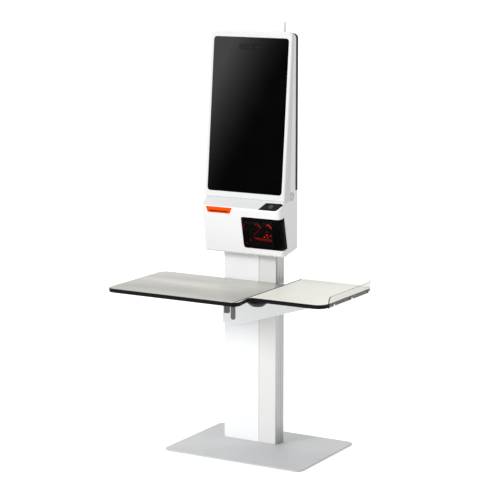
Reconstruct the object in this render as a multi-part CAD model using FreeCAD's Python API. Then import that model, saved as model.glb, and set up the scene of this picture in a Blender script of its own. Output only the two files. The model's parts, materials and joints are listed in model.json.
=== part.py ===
import FreeCAD, Part

import math
import os

# Self-service touchscreen kiosk on a free-standing column, with a stepped worktop.
# Millimetres.  Origin: centre of the base plate on the floor.  +X is to the customer's right,
# -Y is the side the customer stands on, +Z is up.

V = FreeCAD.Vector
X_AXIS = V(1, 0, 0)
Y_AXIS = V(0, 1, 0)
Z_AXIS = V(0, 0, 1)

# ---- base plate --------------------------------------------------------------------------------
PAD_HEIGHT = 2.0
PAD_RADIUS = 20.0
BASE_HALF_X = 300.0
BASE_HALF_Y = 224.0
BASE_THICK = 6.0
BASE_CORNER = 28.0
BASE_TOP = PAD_HEIGHT + BASE_THICK

# ---- column ------------------------------------------------------------------------------------
COLUMN_X = -64.0            # centre line of the column and of the head
COLUMN_HALF = 118.0
COLUMN_FRONT = 44.0
COLUMN_BACK = 100.0
COLUMN_SEAM = -27.0         # seam between the white cover and the grey service panel
SHEET = 2.0
SIDE_PROFILE = 7.0          # thickness of the grooved side extrusions
POST_HALF = 75.0
POST_FRONT = 50.0
POST_BACK = 94.0
POST_WALL = 3.0
FOOT_THICK = 6.0
POST_TOP = 1005.0

# ---- worktop -----------------------------------------------------------------------------------
TABLE_TOP = 646.0
TABLE_THICK = 15.0
TABLE_UNDER = TABLE_TOP - TABLE_THICK
LEFT_END = -465.0
LEFT_FRONT = -361.0
TRAY_RIGHT = 403.0
TRAY_FRONT = -245.0
TRAY_BACK = 168.0
TRAY_LEFT = 93.0            # line of the joint between the steel plate and the laminate
EAR_X = 107.0               # how far the deep part reaches past that joint at its front corner
CORNER_LARGE = 36.0
CORNER_TRAY = 42.0
CORNER_SMALL = 10.0
BAND = 2.5                  # thickness of the edge band
PLATE_THICK = 3.0
LAMINATE_THICK = 1.0
JOINT_GAP = 2.0
SCALE_X = 106.0             # round housing under the step
SCALE_Y = -202.0
SCALE_R = 40.0

# ---- guard round the tray ----------------------------------------------------------------------
GUARD_THICK = 4.0
GUARD_TOP = 671.0
GUARD_FOOT = 629.0
GUARD_FRONT = -204.0
GUARD_LEFT = 104.0
SCREW_LEVEL = 636.0

# ---- head --------------------------------------------------------------------------------------
HEAD_HALF = 175.0           # rear shell
FRONT_HALF = 178.0          # bezel and door, which stand proud of the rear shell
BEZEL_TOP = 1604.5
BEZEL_RIM = 7.5             # width of the bezel's side and top walls at the parting line
HEAD_TOP = 1598.0
HEAD_BACK = 100.0
LEDGE_Z = 972.0
SCREEN_FOOT_Y = -10.0       # screen plane at the ledge
SCREEN_TOP_Y = 48.2         # screen plane at the head's top
NOSE = V(0, -48.5, 938.5)
CHIN = V(0, -8.5, 756.0)
UNDERSIDE_BACK_Z = 782.0
CHASSIS_FOOT = 785.0
CHASSIS_TOP = 1240.0
WALL = 3.0
PART_TOP_Y = 62.0           # parting line between bezel and rear shell, at the top
PART_FOOT_Y = 33.0          # and at the ledge, from where it runs straight down
PART_GAP = 1.0
COVER_FRONT_Y = 80.0        # black back cover
COVER_FOOT_Z = 1006.0
GLASS_HALF = 162.0
GLASS_LOW = 22.8            # distances along the screen plane, up from the ledge
GLASS_HIGH = 610.7
GLASS_THICK = 4.0
GLASS_CORNER = 12.0

SCREEN_LEAN = math.atan2(SCREEN_TOP_Y - SCREEN_FOOT_Y, HEAD_TOP - LEDGE_Z)
PANEL_LEAN = math.atan2(CHIN.y - NOSE.y, NOSE.z - CHIN.z)

WINDOW_REACH = 30.0         # how far the scanner window wraps back along the door's side

# ---- moving pieces -----------------------------------------------------------------------------
DOOR_AXIS_Y = 28.0
DOOR_AXIS_Z = 769.0
DOOR_KNUCKLES = (-150.0, 118.0)   # left ends of the door's knuckles, from the centre line
DOOR_BLOCKS = (-117.5, 103.5)     # left ends of the fixed blocks beside them
KNUCKLE_WIDTH = 32.0
BLOCK_WIDTH = 14.0
DOOR_PIN_R = 2.5
RUNNING_FIT = 0.05
LOCK_Y = 51.0
LOCK_Z = 985.0
LOCK_FACE_R = 17.0
LOCK_BARREL_R = 9.0
ROLL_Y = 14.0
ROLL_Z = 850.0
ROLL_R = 29.0
ROLL_CORE_R = 8.0
ROLL_X0 = -194.0
ROLL_X1 = -114.0
PLATEN_Y = -16.0
PLATEN_Z = 903.0
PLATEN_R = 6.0
SWITCH_X = -90.0
SWITCH_Z = 85.0
SWITCH_TILT = 8.0           # the rocker rests tipped this far to its on side

# ---- status lamp -------------------------------------------------------------------------------
LAMP_X0 = -1.0
LAMP_X1 = 68.0
LAMP_Y0 = 65.0
LAMP_Y1 = 79.0
LAMP_SPLIT = 1640.0
LAMP_TOP = 1695.0


# ---- small helpers -----------------------------------------------------------------------------
def save(name, shape):
    shape.exportStep("parts/" + name + ".step")


def box(x0, x1, y0, y1, z0, z1):
    return Part.makeBox(x1 - x0, y1 - y0, z1 - z0, V(x0, y0, z0))


def rod(radius, start, direction, length):
    return Part.makeCylinder(radius, length, start, direction)


def tube(outer, inner, start, direction, length):
    return rod(outer, start, direction, length).cut(rod(inner, start, direction, length))


def group(shapes):
    return Part.makeCompound(shapes)


def joined(shapes):
    return shapes[0].multiFuse(shapes[1:]).removeSplitter()


def prism_x(outline, x0, x1):
    """Straight-sided outline of (y, z) points, extruded from x0 to x1."""
    points = [V(x0, y, z) for y, z in outline]
    wire = Part.makePolygon(points + [points[0]])
    return Part.Face(wire).extrude(V(x1 - x0, 0, 0))


def prism_y(outline, y0, y1):
    """Straight-sided outline of (x, z) points, extruded from y0 to y1."""
    points = [V(x, y0, z) for x, z in outline]
    wire = Part.makePolygon(points + [points[0]])
    return Part.Face(wire).extrude(V(0, y1 - y0, 0))


def rounded_outline(corners, level):
    """Closed wire through (x, y, radius) corners at one level, each corner an arc."""
    count = len(corners)
    edges = []
    joins = []
    for i, (x, y, radius) in enumerate(corners):
        here = V(x, y, level)
        before = V(corners[i - 1][0], corners[i - 1][1], level)
        after = V(corners[(i + 1) % count][0], corners[(i + 1) % count][1], level)
        to_before = (before - here).normalize()
        to_after = (after - here).normalize()
        half = to_before.getAngle(to_after) / 2
        reach = radius / math.tan(half)
        inward = (to_before + to_after).normalize()
        start = here + to_before * reach
        end = here + to_after * reach
        middle = here + inward * (radius / math.sin(half) - radius)
        joins.append((start, middle, end))
    for i, (start, middle, end) in enumerate(joins):
        edges.append(Part.Arc(start, middle, end).toShape())
        following = joins[(i + 1) % count][0]
        if (following - end).Length > 1e-4:
            edges.append(Part.LineSegment(end, following).toShape())
    return Part.Wire(edges)


def slab(corners, z0, z1):
    """Flat plate with rounded corners between two levels."""
    return Part.Face(rounded_outline(corners, z0)).extrude(V(0, 0, z1 - z0))


def rounded_box(x0, x1, y0, y1, z0, z1, radius):
    corners = [(x0, y0, radius), (x1, y0, radius), (x1, y1, radius), (x0, y1, radius)]
    return slab(corners, z0, z1)


def fillet_where(shape, radius, wanted):
    """Round the straight edges whose direction and middle point satisfy wanted."""
    chosen = []
    for edge in shape.Edges:
        if len(edge.Vertexes) == 2 and isinstance(edge.Curve, (Part.Line, Part.LineSegment)):
            direction = (edge.Vertexes[1].Point - edge.Vertexes[0].Point).normalize()
            if wanted(direction, edge.CenterOfMass):
                chosen.append(edge)
    return shape.makeFillet(radius, chosen)


def on_screen(shape):
    """Place a shape drawn upright (x, depth, height) on the leaning screen plane."""
    placed = shape.copy()
    placed.rotate(V(0, 0, 0), X_AXIS, -math.degrees(SCREEN_LEAN))
    placed.translate(V(COLUMN_X, SCREEN_FOOT_Y, LEDGE_Z))
    return placed


def on_panel(shape):
    """Place a shape drawn upright (x, depth, height) on the lower front panel."""
    placed = shape.copy()
    placed.rotate(V(0, 0, 0), X_AXIS, math.degrees(PANEL_LEAN))
    placed.translate(V(COLUMN_X, CHIN.y, CHIN.z))
    return placed


def upright_plate(corners, depth0, depth1):
    """Plate with rounded corners, drawn as (x, height, radius), standing in the XZ plane."""
    flat = slab(corners, 0, depth1 - depth0)
    flat.rotate(V(0, 0, 0), X_AXIS, 90)
    flat.translate(V(0, depth1, 0))
    return flat


def screen_y(z):
    return SCREEN_FOOT_Y + (z - LEDGE_Z) * math.tan(SCREEN_LEAN)


def underside_z(y):
    return CHIN.z + (y - CHIN.y) * (UNDERSIDE_BACK_Z - CHIN.z) / (HEAD_BACK - CHIN.y)


def below_head(shape):
    """Trim a column cover so that it stops just under the head's sloping underside."""
    gap = 1.5
    tool = prism_x([(-200, underside_z(-200) - gap), (300, underside_z(300) - gap),
                    (300, 2000), (-200, 2000)], -600, 600)
    return shape.cut(tool)


# ---- stand -------------------------------------------------------------------------------------
def bolt_places():
    return [(COLUMN_X + side * 94, y) for side in (-1, 1) for y in (60, 84)]


def base_plate():
    plate = rounded_box(-BASE_HALF_X, BASE_HALF_X, -BASE_HALF_Y, BASE_HALF_Y,
                        PAD_HEIGHT, BASE_TOP, BASE_CORNER)
    plate = fillet_where(plate, 1.0, lambda d, c: abs(d.z) < 0.1 and c.z > BASE_TOP - 0.1)
    for x, y in bolt_places():
        plate = plate.cut(rod(4, V(x, y, 0), Z_AXIS, 20))
    cable_hole = rod(14, V(COLUMN_X, 72, 0), Z_AXIS, 20)
    return plate.cut(cable_hole)


def floor_pads():
    pads = []
    for x in (-262, 0, 262):
        for y in (-186, 186):
            pads.append(rod(PAD_RADIUS, V(x, y, 0), Z_AXIS, PAD_HEIGHT))
    pads.append(rod(PAD_RADIUS, V(0, 0, 0), Z_AXIS, PAD_HEIGHT))
    return group(pads)


def base_bolts():
    bolts = []
    for x, y in bolt_places():
        shank = rod(4, V(x, y, PAD_HEIGHT + 0.5), Z_AXIS, BASE_TOP + FOOT_THICK - PAD_HEIGHT)
        head = Part.Face(Part.makePolygon([V(x + 7.5 * math.cos(math.radians(a)),
                                             y + 7.5 * math.sin(math.radians(a)),
                                             BASE_TOP + FOOT_THICK) for a in range(0, 361, 60)]))
        bolts.append(joined([shank, head.extrude(V(0, 0, 5.5))]))
    return group(bolts)


def post_foot():
    foot = box(COLUMN_X - 106, COLUMN_X + 106, POST_FRONT, 97, BASE_TOP, BASE_TOP + FOOT_THICK)
    for x, y in bolt_places():
        foot = foot.cut(rod(4, V(x, y, 0), Z_AXIS, 30))
    return foot.cut(rod(14, V(COLUMN_X, 72, 0), Z_AXIS, 30))


def column_post():
    low = BASE_TOP + FOOT_THICK
    outer = box(COLUMN_X - POST_HALF, COLUMN_X + POST_HALF, POST_FRONT, POST_BACK, low, POST_TOP)
    inner = box(COLUMN_X - POST_HALF + POST_WALL, COLUMN_X + POST_HALF - POST_WALL,
                POST_FRONT + POST_WALL, POST_BACK - POST_WALL, low - 1, POST_TOP + 1)
    window = box(SWITCH_X - 26, SWITCH_X + 66, POST_BACK - 10, POST_BACK + 1, 60, 110)
    return outer.cut(inner).cut(window)


def column_front_cover():
    """White folded sheet: the wide part of the front and the left return."""
    left = COLUMN_X - COLUMN_HALF + SIDE_PROFILE
    front = box(COLUMN_X - COLUMN_HALF, COLUMN_SEAM - 0.5, COLUMN_FRONT, COLUMN_FRONT + SHEET,
                BASE_TOP, 800)
    lip = box(COLUMN_SEAM - 0.5 - SHEET, COLUMN_SEAM - 0.5, COLUMN_FRONT, POST_FRONT, BASE_TOP, 800)
    edge = box(COLUMN_X - COLUMN_HALF, left, COLUMN_FRONT, COLUMN_FRONT + 4, BASE_TOP, 800)
    return below_head(joined([front, lip, edge]))


def column_service_panel():
    """Grey removable panel beside the white cover, flush with it."""
    right = COLUMN_X + COLUMN_HALF - SIDE_PROFILE
    front = box(COLUMN_SEAM + 0.5, right, COLUMN_FRONT, COLUMN_FRONT + SHEET, BASE_TOP, 800)
    lip = box(COLUMN_SEAM + 0.5, COLUMN_SEAM + 0.5 + SHEET, COLUMN_FRONT, POST_FRONT, BASE_TOP, 800)
    return below_head(joined([front, lip]))


def side_extrusion(outer_x, inward, front_y):
    """Aluminium side profile with rounded outer corners and three upright grooves."""
    x0 = min(outer_x, outer_x + inward * SIDE_PROFILE)
    x1 = max(outer_x, outer_x + inward * SIDE_PROFILE)
    bar = box(x0, x1, front_y, COLUMN_BACK, BASE_TOP, 800)
    bar = fillet_where(bar, 4.0, lambda d, c: abs(d.z) > 0.9 and abs(c.x - outer_x) < 0.1)
    for y in (58, 72, 86):
        groove = box(outer_x - 1.6, outer_x + 1.6, y - 1.5, y + 1.5, 0, 900)
        bar = bar.cut(groove)
    return below_head(bar)


def column_side_right():
    return side_extrusion(COLUMN_X + COLUMN_HALF, -1, COLUMN_FRONT)


def column_side_left():
    return side_extrusion(COLUMN_X - COLUMN_HALF, 1, COLUMN_FRONT + 4)


def column_rear_cover():
    sheet = box(COLUMN_X - COLUMN_HALF + SIDE_PROFILE, COLUMN_X + COLUMN_HALF - SIDE_PROFILE,
                COLUMN_BACK - SHEET, COLUMN_BACK, BASE_TOP, 800)
    sheet = sheet.cut(box(SWITCH_X - 13, SWITCH_X + 13, 90, 110, SWITCH_Z - 13, SWITCH_Z + 13))
    sheet = sheet.cut(box(SWITCH_X + 20, SWITCH_X + 52, 90, 110, SWITCH_Z - 13, SWITCH_Z + 13))
    return below_head(sheet)


def power_inlet():
    """Appliance inlet: flange, socket body and three pins."""
    x = SWITCH_X + 36
    flange = box(x - 19, x + 19, COLUMN_BACK, COLUMN_BACK + 2, SWITCH_Z - 16, SWITCH_Z + 16)
    body = box(x - 15, x + 15, 74, COLUMN_BACK, SWITCH_Z - 12, SWITCH_Z + 12)
    socket = box(x - 12.5, x + 12.5, 84, 110, SWITCH_Z - 9, SWITCH_Z + 9)
    pins = [box(x + dx - 1, x + dx + 1, 80, 96, SWITCH_Z - 2 + dz, SWITCH_Z + 2 + dz)
            for dx, dz in ((-7, -3), (0, 3), (7, -3))]
    return joined([joined([flange, body]).cut(socket)] + pins)


def switch_bezel():
    """Frame round the mains rocker."""
    frame = box(SWITCH_X - 15.5, SWITCH_X + 15.5, COLUMN_BACK, COLUMN_BACK + 2,
                SWITCH_Z - 16, SWITCH_Z + 16)
    body = box(SWITCH_X - 12, SWITCH_X + 12, 78, COLUMN_BACK, SWITCH_Z - 13, SWITCH_Z + 13)
    well = box(SWITCH_X - 8.5, SWITCH_X + 8.5, 84, 110, SWITCH_Z - 11, SWITCH_Z + 11)
    pivot = rod(1.5, V(SWITCH_X - 10, 95, SWITCH_Z), X_AXIS, 20)
    return joined([joined([frame, body]).cut(well), pivot])


def power_switch():
    """Mains rocker, on the pivot at its middle."""
    outline = [(87.5, SWITCH_Z - 6), (104.0, SWITCH_Z - 9.0), (102.2, SWITCH_Z),
               (104.0, SWITCH_Z + 9.0), (87.5, SWITCH_Z + 6)]
    rocker = prism_x(outline, SWITCH_X - 8, SWITCH_X + 8)
    rocker = rocker.cut(rod(1.5 + RUNNING_FIT, V(SWITCH_X - 20, 95, SWITCH_Z), X_AXIS, 40))
    rocker.rotate(V(SWITCH_X, 95, SWITCH_Z), X_AXIS, SWITCH_TILT)
    return rocker


# ---- worktop -----------------------------------------------------------------------------------
def table_corners(inset):
    """Outline of the stepped worktop, moved inwards by inset."""
    i = inset
    return [
        (LEFT_END + i, LEFT_FRONT + i, CORNER_LARGE - i),
        (EAR_X - 6 - i, LEFT_FRONT + i, 22 - i),
        (EAR_X + 2 - i, LEFT_FRONT + 30, 30 - i),
        (TRAY_LEFT + 3 - i * 0.6, TRAY_FRONT + i, 14 + i),
        (TRAY_RIGHT - i, TRAY_FRONT + i, CORNER_TRAY - i),
        (TRAY_RIGHT - i, TRAY_BACK - i, CORNER_TRAY - i),
        (TRAY_LEFT + i, TRAY_BACK - i, CORNER_SMALL - i),
        (TRAY_LEFT + i, COLUMN_FRONT - 0.5 - i, 3 + i),
        (LEFT_END + i, COLUMN_FRONT - 0.5 - i, CORNER_LARGE - i),
    ]


def edge_band():
    ring = slab(table_corners(0), TABLE_UNDER, TABLE_TOP)
    ring = ring.cut(slab(table_corners(BAND), TABLE_UNDER - 1, TABLE_TOP + 1))
    return ring


def left_side(z0, z1):
    return box(-600, TRAY_LEFT - JOINT_GAP / 2, -500, 300, z0, z1)


def right_side(z0, z1):
    return box(TRAY_LEFT + JOINT_GAP / 2, 600, -500, 300, z0, z1)


def worktop_board():
    board = slab(table_corners(BAND), TABLE_UNDER, TABLE_TOP - LAMINATE_THICK)
    return board.cut(left_side(TABLE_TOP - PLATE_THICK, TABLE_TOP + 1))


def bagging_plate():
    return slab(table_corners(BAND), TABLE_TOP - PLATE_THICK, TABLE_TOP).common(
        left_side(TABLE_TOP - PLATE_THICK - 1, TABLE_TOP + 1))


def tray_laminate():
    return slab(table_corners(BAND), TABLE_TOP - LAMINATE_THICK, TABLE_TOP).common(
        right_side(TABLE_TOP - LAMINATE_THICK - 1, TABLE_TOP + 1))


def table_bracket():
    """Folded steel cantilever across the column front: web with a sloping lower edge and lips."""
    front = 14.0
    back = COLUMN_FRONT
    outline = [(388, TABLE_UNDER), (-430, TABLE_UNDER), (-430, 612), (-172, 585),
               (-172, 475), (-96, 475), (388, 626)]
    inner = [(386, TABLE_UNDER - SHEET), (-428, TABLE_UNDER - SHEET), (-428, 613.8), (-170, 587),
             (-170, 477), (-96.4, 477), (378, 625)]
    return prism_y(outline, front, back - 0.5).cut(prism_y(inner, front + 3, back + 1))


def table_arms():
    """Flat bars under the boards, welded to the bracket's web."""
    under = TABLE_UNDER
    bars = []
    for x in (-330, -200, -64):
        bars.append(box(x - 20, x + 20, -240, 14, under - 10, under))
    for x in (170, 320):
        bars.append(box(x - 20, x + 20, -186, 14, under - 10, under))
        bars.append(box(x - 20, x + 20, COLUMN_FRONT - 0.5, 140, under - 10, under))
    return group(bars)


def scale_housing():
    """Round black housing under the front corner of the step: neck and bowl-shaped dish."""
    x, y = SCALE_X, SCALE_Y
    neck = rod(20, V(x, y, TABLE_UNDER - 5), Z_AXIS, 5)
    rim = rod(SCALE_R, V(x, y, TABLE_UNDER - 9), Z_AXIS, 4)
    bowl = Part.makeCone(SCALE_R - 17, SCALE_R, 14, V(x, y, TABLE_UNDER - 23), Z_AXIS)
    seat = rod(14, V(x, y, TABLE_UNDER - 19), Z_AXIS, 14)
    return joined([neck, rim, bowl]).cut(seat)


def load_cell():
    return rod(13.5, V(SCALE_X, SCALE_Y, TABLE_UNDER - 18.5), Z_AXIS, 13)


def bag_hooks():
    """Short ribbed catch and long tongue, hanging under the front corner."""
    y = LEFT_FRONT + 18
    catch = box(50, 67, y - 8, y + 8, 603, TABLE_UNDER)
    for x in (54.5, 58.5, 62.5):
        catch = catch.cut(box(x - 0.8, x + 0.8, y - 9, y - 6.5, 602, 626))
    corners = [(76, 580, 8.4), (93, 580, 8.4), (93, TABLE_UNDER, 0.5), (76, TABLE_UNDER, 0.5)]
    tongue = upright_plate(corners, y - 3, y + 3)
    return group([catch, tongue])


def guard_screen():
    """Clear L-shaped guard: one bent sheet round the right and back edges of the tray."""
    shell = slab([(-500, -500, 1), (TRAY_RIGHT + GUARD_THICK, -500, 1),
                  (TRAY_RIGHT + GUARD_THICK, TRAY_BACK + GUARD_THICK, CORNER_TRAY + GUARD_THICK),
                  (-500, TRAY_BACK + GUARD_THICK, 1)], GUARD_FOOT, GUARD_TOP)
    hollow = slab([(-600, -600, 1), (TRAY_RIGHT, -600, 1), (TRAY_RIGHT, TRAY_BACK, CORNER_TRAY),
                   (-600, TRAY_BACK, 1)], GUARD_FOOT - 1, GUARD_TOP + 1)
    keep = box(GUARD_LEFT, 600, GUARD_FRONT, 400, 0, 2000)
    sheet = shell.cut(hollow).common(keep)
    sheet = fillet_where(sheet, 20.0, lambda d, c: abs(d.x) > 0.9 and c.y < GUARD_FRONT + 1
                         and c.z > GUARD_TOP - 1)
    sheet = fillet_where(sheet, 20.0, lambda d, c: abs(d.y) > 0.9 and c.x < GUARD_LEFT + 1
                         and c.z > GUARD_TOP - 1)
    for start, direction in guard_screw_places():
        sheet = sheet.cut(rod(2, start - direction * 20, direction, 40))
    return sheet


def guard_screw_places():
    side = [(V(TRAY_RIGHT + GUARD_THICK, y, SCREW_LEVEL), X_AXIS) for y in (-169, -27, 115)]
    rear = [(V(x, TRAY_BACK + GUARD_THICK, SCREW_LEVEL), Y_AXIS) for x in (160, 320)]
    return side + rear


def guard_screws():
    screws = []
    for start, direction in guard_screw_places():
        cap = rod(5, start, direction, 3)
        shank = rod(2, start - direction * GUARD_THICK, direction, GUARD_THICK)
        cap = cap.cut(rod(1.6, start + direction * 1.5, direction, 3))
        screws.append(joined([cap, shank]))
    return group(screws)


# ---- head: outer forms -------------------------------------------------------------------------
def door_form(inset):
    """Solid form of the lower front door, moved inwards by inset on every outside face."""
    i = inset
    half = FRONT_HALF - i
    ledge_dir = V(0, SCREEN_FOOT_Y - NOSE.y, LEDGE_Z - NOSE.z).normalize()
    panel_dir = (NOSE - CHIN).normalize()
    ledge_in = V(0, ledge_dir.z, -ledge_dir.y)
    panel_in = V(0, panel_dir.z, -panel_dir.y)
    under_dir = V(0, HEAD_BACK - CHIN.y, UNDERSIDE_BACK_Z - CHIN.z).normalize()
    under_in = V(0, -under_dir.z, under_dir.y)
    top = V(0, SCREEN_FOOT_Y, LEDGE_Z - 0.4) + ledge_in * i
    nose = meet(NOSE + ledge_in * i, ledge_dir, NOSE + panel_in * i, panel_dir)
    chin = meet(CHIN + panel_in * i, panel_dir, CHIN + under_in * i, under_dir)
    back_y = PART_FOOT_Y if i == 0 else PART_FOOT_Y + 20
    foot = CHIN + under_in * i + under_dir * ((back_y - CHIN.y) / under_dir.y)
    roof = LEDGE_Z - 0.4
    top_y = top.y if i == 0 else top.y + (roof - top.z) * ledge_dir.y / ledge_dir.z
    outline = [(top_y, roof), (nose.y, nose.z), (chin.y, chin.z), (foot.y, foot.z), (back_y, roof)]
    form = prism_x(outline, COLUMN_X - half, COLUMN_X + half)
    side_r = 16.0 - i
    form = fillet_where(form, side_r, lambda d, c: abs(d.x) < 0.1 and abs(c.x - COLUMN_X) > half - 1
                        and c.y < -5 and d.z * d.z > 0.3)
    nose_r = 9.0 - i
    return fillet_where(form, nose_r, lambda d, c: abs(d.x) > 0.9 and c.y < 6 and c.z < 960)


def meet(point_a, dir_a, point_b, dir_b):
    """Crossing of two lines in the YZ plane."""
    cross = dir_a.y * dir_b.z - dir_a.z * dir_b.y
    gap = point_b - point_a
    step = (gap.y * dir_b.z - gap.z * dir_b.y) / cross
    return point_a + dir_a * step


def window_region(depth, grow):
    """Region of the scanner window in panel coordinates, wrapping the right-hand corner."""
    x0 = 5.0 - grow
    z0 = 29.5 - grow
    z1 = 154.5 + grow
    corners = [(x0, z0, 11 + grow), (FRONT_HALF + 30, z0, 1), (FRONT_HALF + 30, z1, 1),
               (x0, z1, 9 + grow)]
    face = upright_plate(corners, -20, depth)
    return on_panel(face)


def outlet_region(depth):
    """Tapering outline of the paper outlet, across the nose and the top of the panel."""
    face = prism_y([(-146, 186.5), (-30.5, 186.5), (-42.5, 162.5), (-139.5, 162.5)], -8, depth)
    return on_panel(face)


def pad_region():
    """Outline of the contactless pad on the ledge, as an upright column cutting the wall."""
    ledge = V(0, SCREEN_FOOT_Y - NOSE.y, LEDGE_Z - NOSE.z)
    corners = [(82, 3, 1.5), (162, 3, 16), (175.5, 41.5, 4), (103, 39.5, 3)]
    face = slab(corners, -6.0, 2.0)
    face.rotate(V(0, 0, 0), X_AXIS, math.degrees(math.atan2(ledge.z, ledge.y)))
    face.translate(V(COLUMN_X, NOSE.y, NOSE.z))
    return face


def service_door():
    """Lower front door: hollow moulding with windows for scanner, outlet and contactless pad."""
    shell = door_form(0).cut(door_form(WALL))
    shell = shell.cut(window_region(WINDOW_REACH, 0.3))
    shell = shell.cut(outlet_region(14.0))
    shell = shell.cut(pad_region())
    for start in DOOR_KNUCKLES:
        x0 = COLUMN_X + start
        knuckle = box(x0, x0 + KNUCKLE_WIDTH, DOOR_AXIS_Y - 6, DOOR_AXIS_Y + 5,
                      DOOR_AXIS_Z - 4, DOOR_AXIS_Z + 6)
        shell = shell.fuse(knuckle)
    for start in DOOR_BLOCKS:
        x0 = COLUMN_X + start
        notch = box(x0 - 1, x0 + BLOCK_WIDTH + 1, DOOR_AXIS_Y - 7, 60, 740, DOOR_AXIS_Z + 12)
        shell = shell.cut(notch)
    shell = shell.cut(rod(DOOR_PIN_R + RUNNING_FIT, V(COLUMN_X - 160, DOOR_AXIS_Y, DOOR_AXIS_Z),
                          X_AXIS, 320))
    return shell.removeSplitter()


def scanner_window():
    """Dark glass flush in the door, bent round its right-hand corner."""
    skin = door_form(0.8).cut(door_form(WALL))
    return skin.common(window_region(WINDOW_REACH - 0.3, 0)).removeSplitter()


def printer_outlet():
    """Orange outlet insert with the paper slot near its lower edge."""
    skin = door_form(0).cut(door_form(WALL)).common(outlet_region(14.0))
    slot = on_panel(box(-133, -49, -10, 20, 166.5, 172.0))
    return skin.cut(slot).removeSplitter()


def contactless_pad():
    """Black cover of the contactless reader, set in the ledge."""
    skin = door_form(0).cut(door_form(WALL - 0.6))
    return skin.common(pad_region()).removeSplitter()


def contactless_board():
    """Antenna board behind the contactless pad."""
    ledge = V(0, SCREEN_FOOT_Y - NOSE.y, LEDGE_Z - NOSE.z)
    board = box(100, 150, 8, 34, -6.0, -4.4)
    board.rotate(V(0, 0, 0), X_AXIS, math.degrees(math.atan2(ledge.z, ledge.y)))
    board.translate(V(COLUMN_X, NOSE.y, NOSE.z))
    return board


def door_catch():
    """Steel catch on the inside of the door's right-hand wall."""
    x = COLUMN_X + FRONT_HALF - WALL
    foot = box(x - 2, x, 8, 30, 930, 966)
    hook = box(x - 15, x - 2, 27, 30, 944, 966)
    return joined([foot, hook])


def hinge_brackets():
    """Two fixed bearing blocks on the chassis that carry the door's pins."""
    blocks = []
    for start in DOOR_BLOCKS:
        x0 = COLUMN_X + start
        x1 = x0 + BLOCK_WIDTH
        block = box(x0, x1, DOOR_AXIS_Y - 5, DOOR_AXIS_Y + 6, DOOR_AXIS_Z - 5, DOOR_AXIS_Z + 5)
        riser = box(x0, x1, DOOR_AXIS_Y + 3, DOOR_AXIS_Y + 6, DOOR_AXIS_Z, CHASSIS_FOOT + 5)
        foot = box(x0, x1, DOOR_AXIS_Y + 3, 46, CHASSIS_FOOT + 1, CHASSIS_FOOT + 5)
        pin_hole = rod(DOOR_PIN_R, V(x0 - 5, DOOR_AXIS_Y, DOOR_AXIS_Z), X_AXIS, 30)
        blocks.append(joined([block, riser, foot]).cut(pin_hole))
    return group(blocks)


def hinge_pins():
    """Two fixed pins, pressed in the bearing blocks."""
    pins = []
    for x0 in (DOOR_KNUCKLES[0] + 2, DOOR_BLOCKS[1]):
        start = V(COLUMN_X + x0, DOOR_AXIS_Y, DOOR_AXIS_Z)
        pins.append(rod(DOOR_PIN_R, start, X_AXIS, KNUCKLE_WIDTH + BLOCK_WIDTH - 1.5))
    return group(pins)


# ---- head: shells ------------------------------------------------------------------------------
def bezel_form(inset, rim):
    """Bezel solid, its front and foot moved inwards by inset and its sides and top by rim."""
    low = LEDGE_Z + inset
    high = BEZEL_TOP - rim
    front_shift = inset / math.cos(SCREEN_LEAN)
    back_low = PART_FOOT_Y if inset == 0 else PART_FOOT_Y + 40
    back_high = PART_TOP_Y if inset == 0 else PART_TOP_Y + 40
    outline = [(screen_y(low) + front_shift, low), (screen_y(high) + front_shift, high),
               (back_high, high), (back_low, low)]
    half = FRONT_HALF - rim
    form = prism_x(outline, COLUMN_X - half, COLUMN_X + half)
    form = fillet_where(form, 19.0 - rim, lambda d, c: abs(d.y) > 0.9 and c.z > high - 1)
    if inset == 0:
        form = fillet_where(form, 7.0, lambda d, c: abs(d.z) > 0.9 and c.y < screen_y(c.z) + 5)
    return form


def front_bezel():
    """White frame round the glass, with side, top and bottom walls."""
    shell = bezel_form(0, 0).cut(bezel_form(WALL + 1, BEZEL_RIM))
    grow = 0.4
    half = GLASS_HALF + grow
    radius = GLASS_CORNER + grow
    corners = [(-half, GLASS_LOW - grow, radius), (half, GLASS_LOW - grow, radius),
               (half, GLASS_HIGH + grow, radius), (-half, GLASS_HIGH + grow, radius)]
    opening = on_screen(upright_plate(corners, -20, 6))
    return shell.cut(opening).removeSplitter()


def screen_glass():
    corners = [(x, height, GLASS_CORNER) for x, height in (
        (-GLASS_HALF, GLASS_LOW), (GLASS_HALF, GLASS_LOW),
        (GLASS_HALF, GLASS_HIGH), (-GLASS_HALF, GLASS_HIGH))]
    return on_screen(upright_plate(corners, 0.2, GLASS_THICK + 0.2))


def display_frame():
    """Pressed steel frame that the glass and the display module are bonded to."""
    depth = GLASS_THICK + 0.2
    ring = box(-167, 167, depth, depth + 2.5, 14, 618)
    window = box(-153, 153, depth - 1, depth + 4, 26, 560)
    camera_window = box(-55, 55, depth - 1, depth + 4, 562, 590)
    return on_screen(ring.cut(window).cut(camera_window))


def display_module():
    depth = GLASS_THICK + 0.2
    return on_screen(box(-152.5, 152.5, depth, depth + 13, 26.5, 559.5))


def camera_module():
    """Camera bar behind the glass: case with three round lenses' seats."""
    depth = GLASS_THICK + 0.2
    case = box(-53, 53, depth + 1.2, depth + 12, 563, 589)
    for x in (-20, 1, 31):
        case = case.cut(rod(5.0, V(x, depth, 576), Y_AXIS, 5))
    return on_screen(case)


def camera_lenses():
    depth = GLASS_THICK + 0.2
    lenses = [tube(4.9, 2.2, V(x, depth + 1.5, 576), Y_AXIS, 3.4).fuse(
        rod(2.2, V(x, depth + 2.5, 576), Y_AXIS, 2.4)) for x in (-20, 1, 31)]
    return on_screen(group(lenses))


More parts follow.
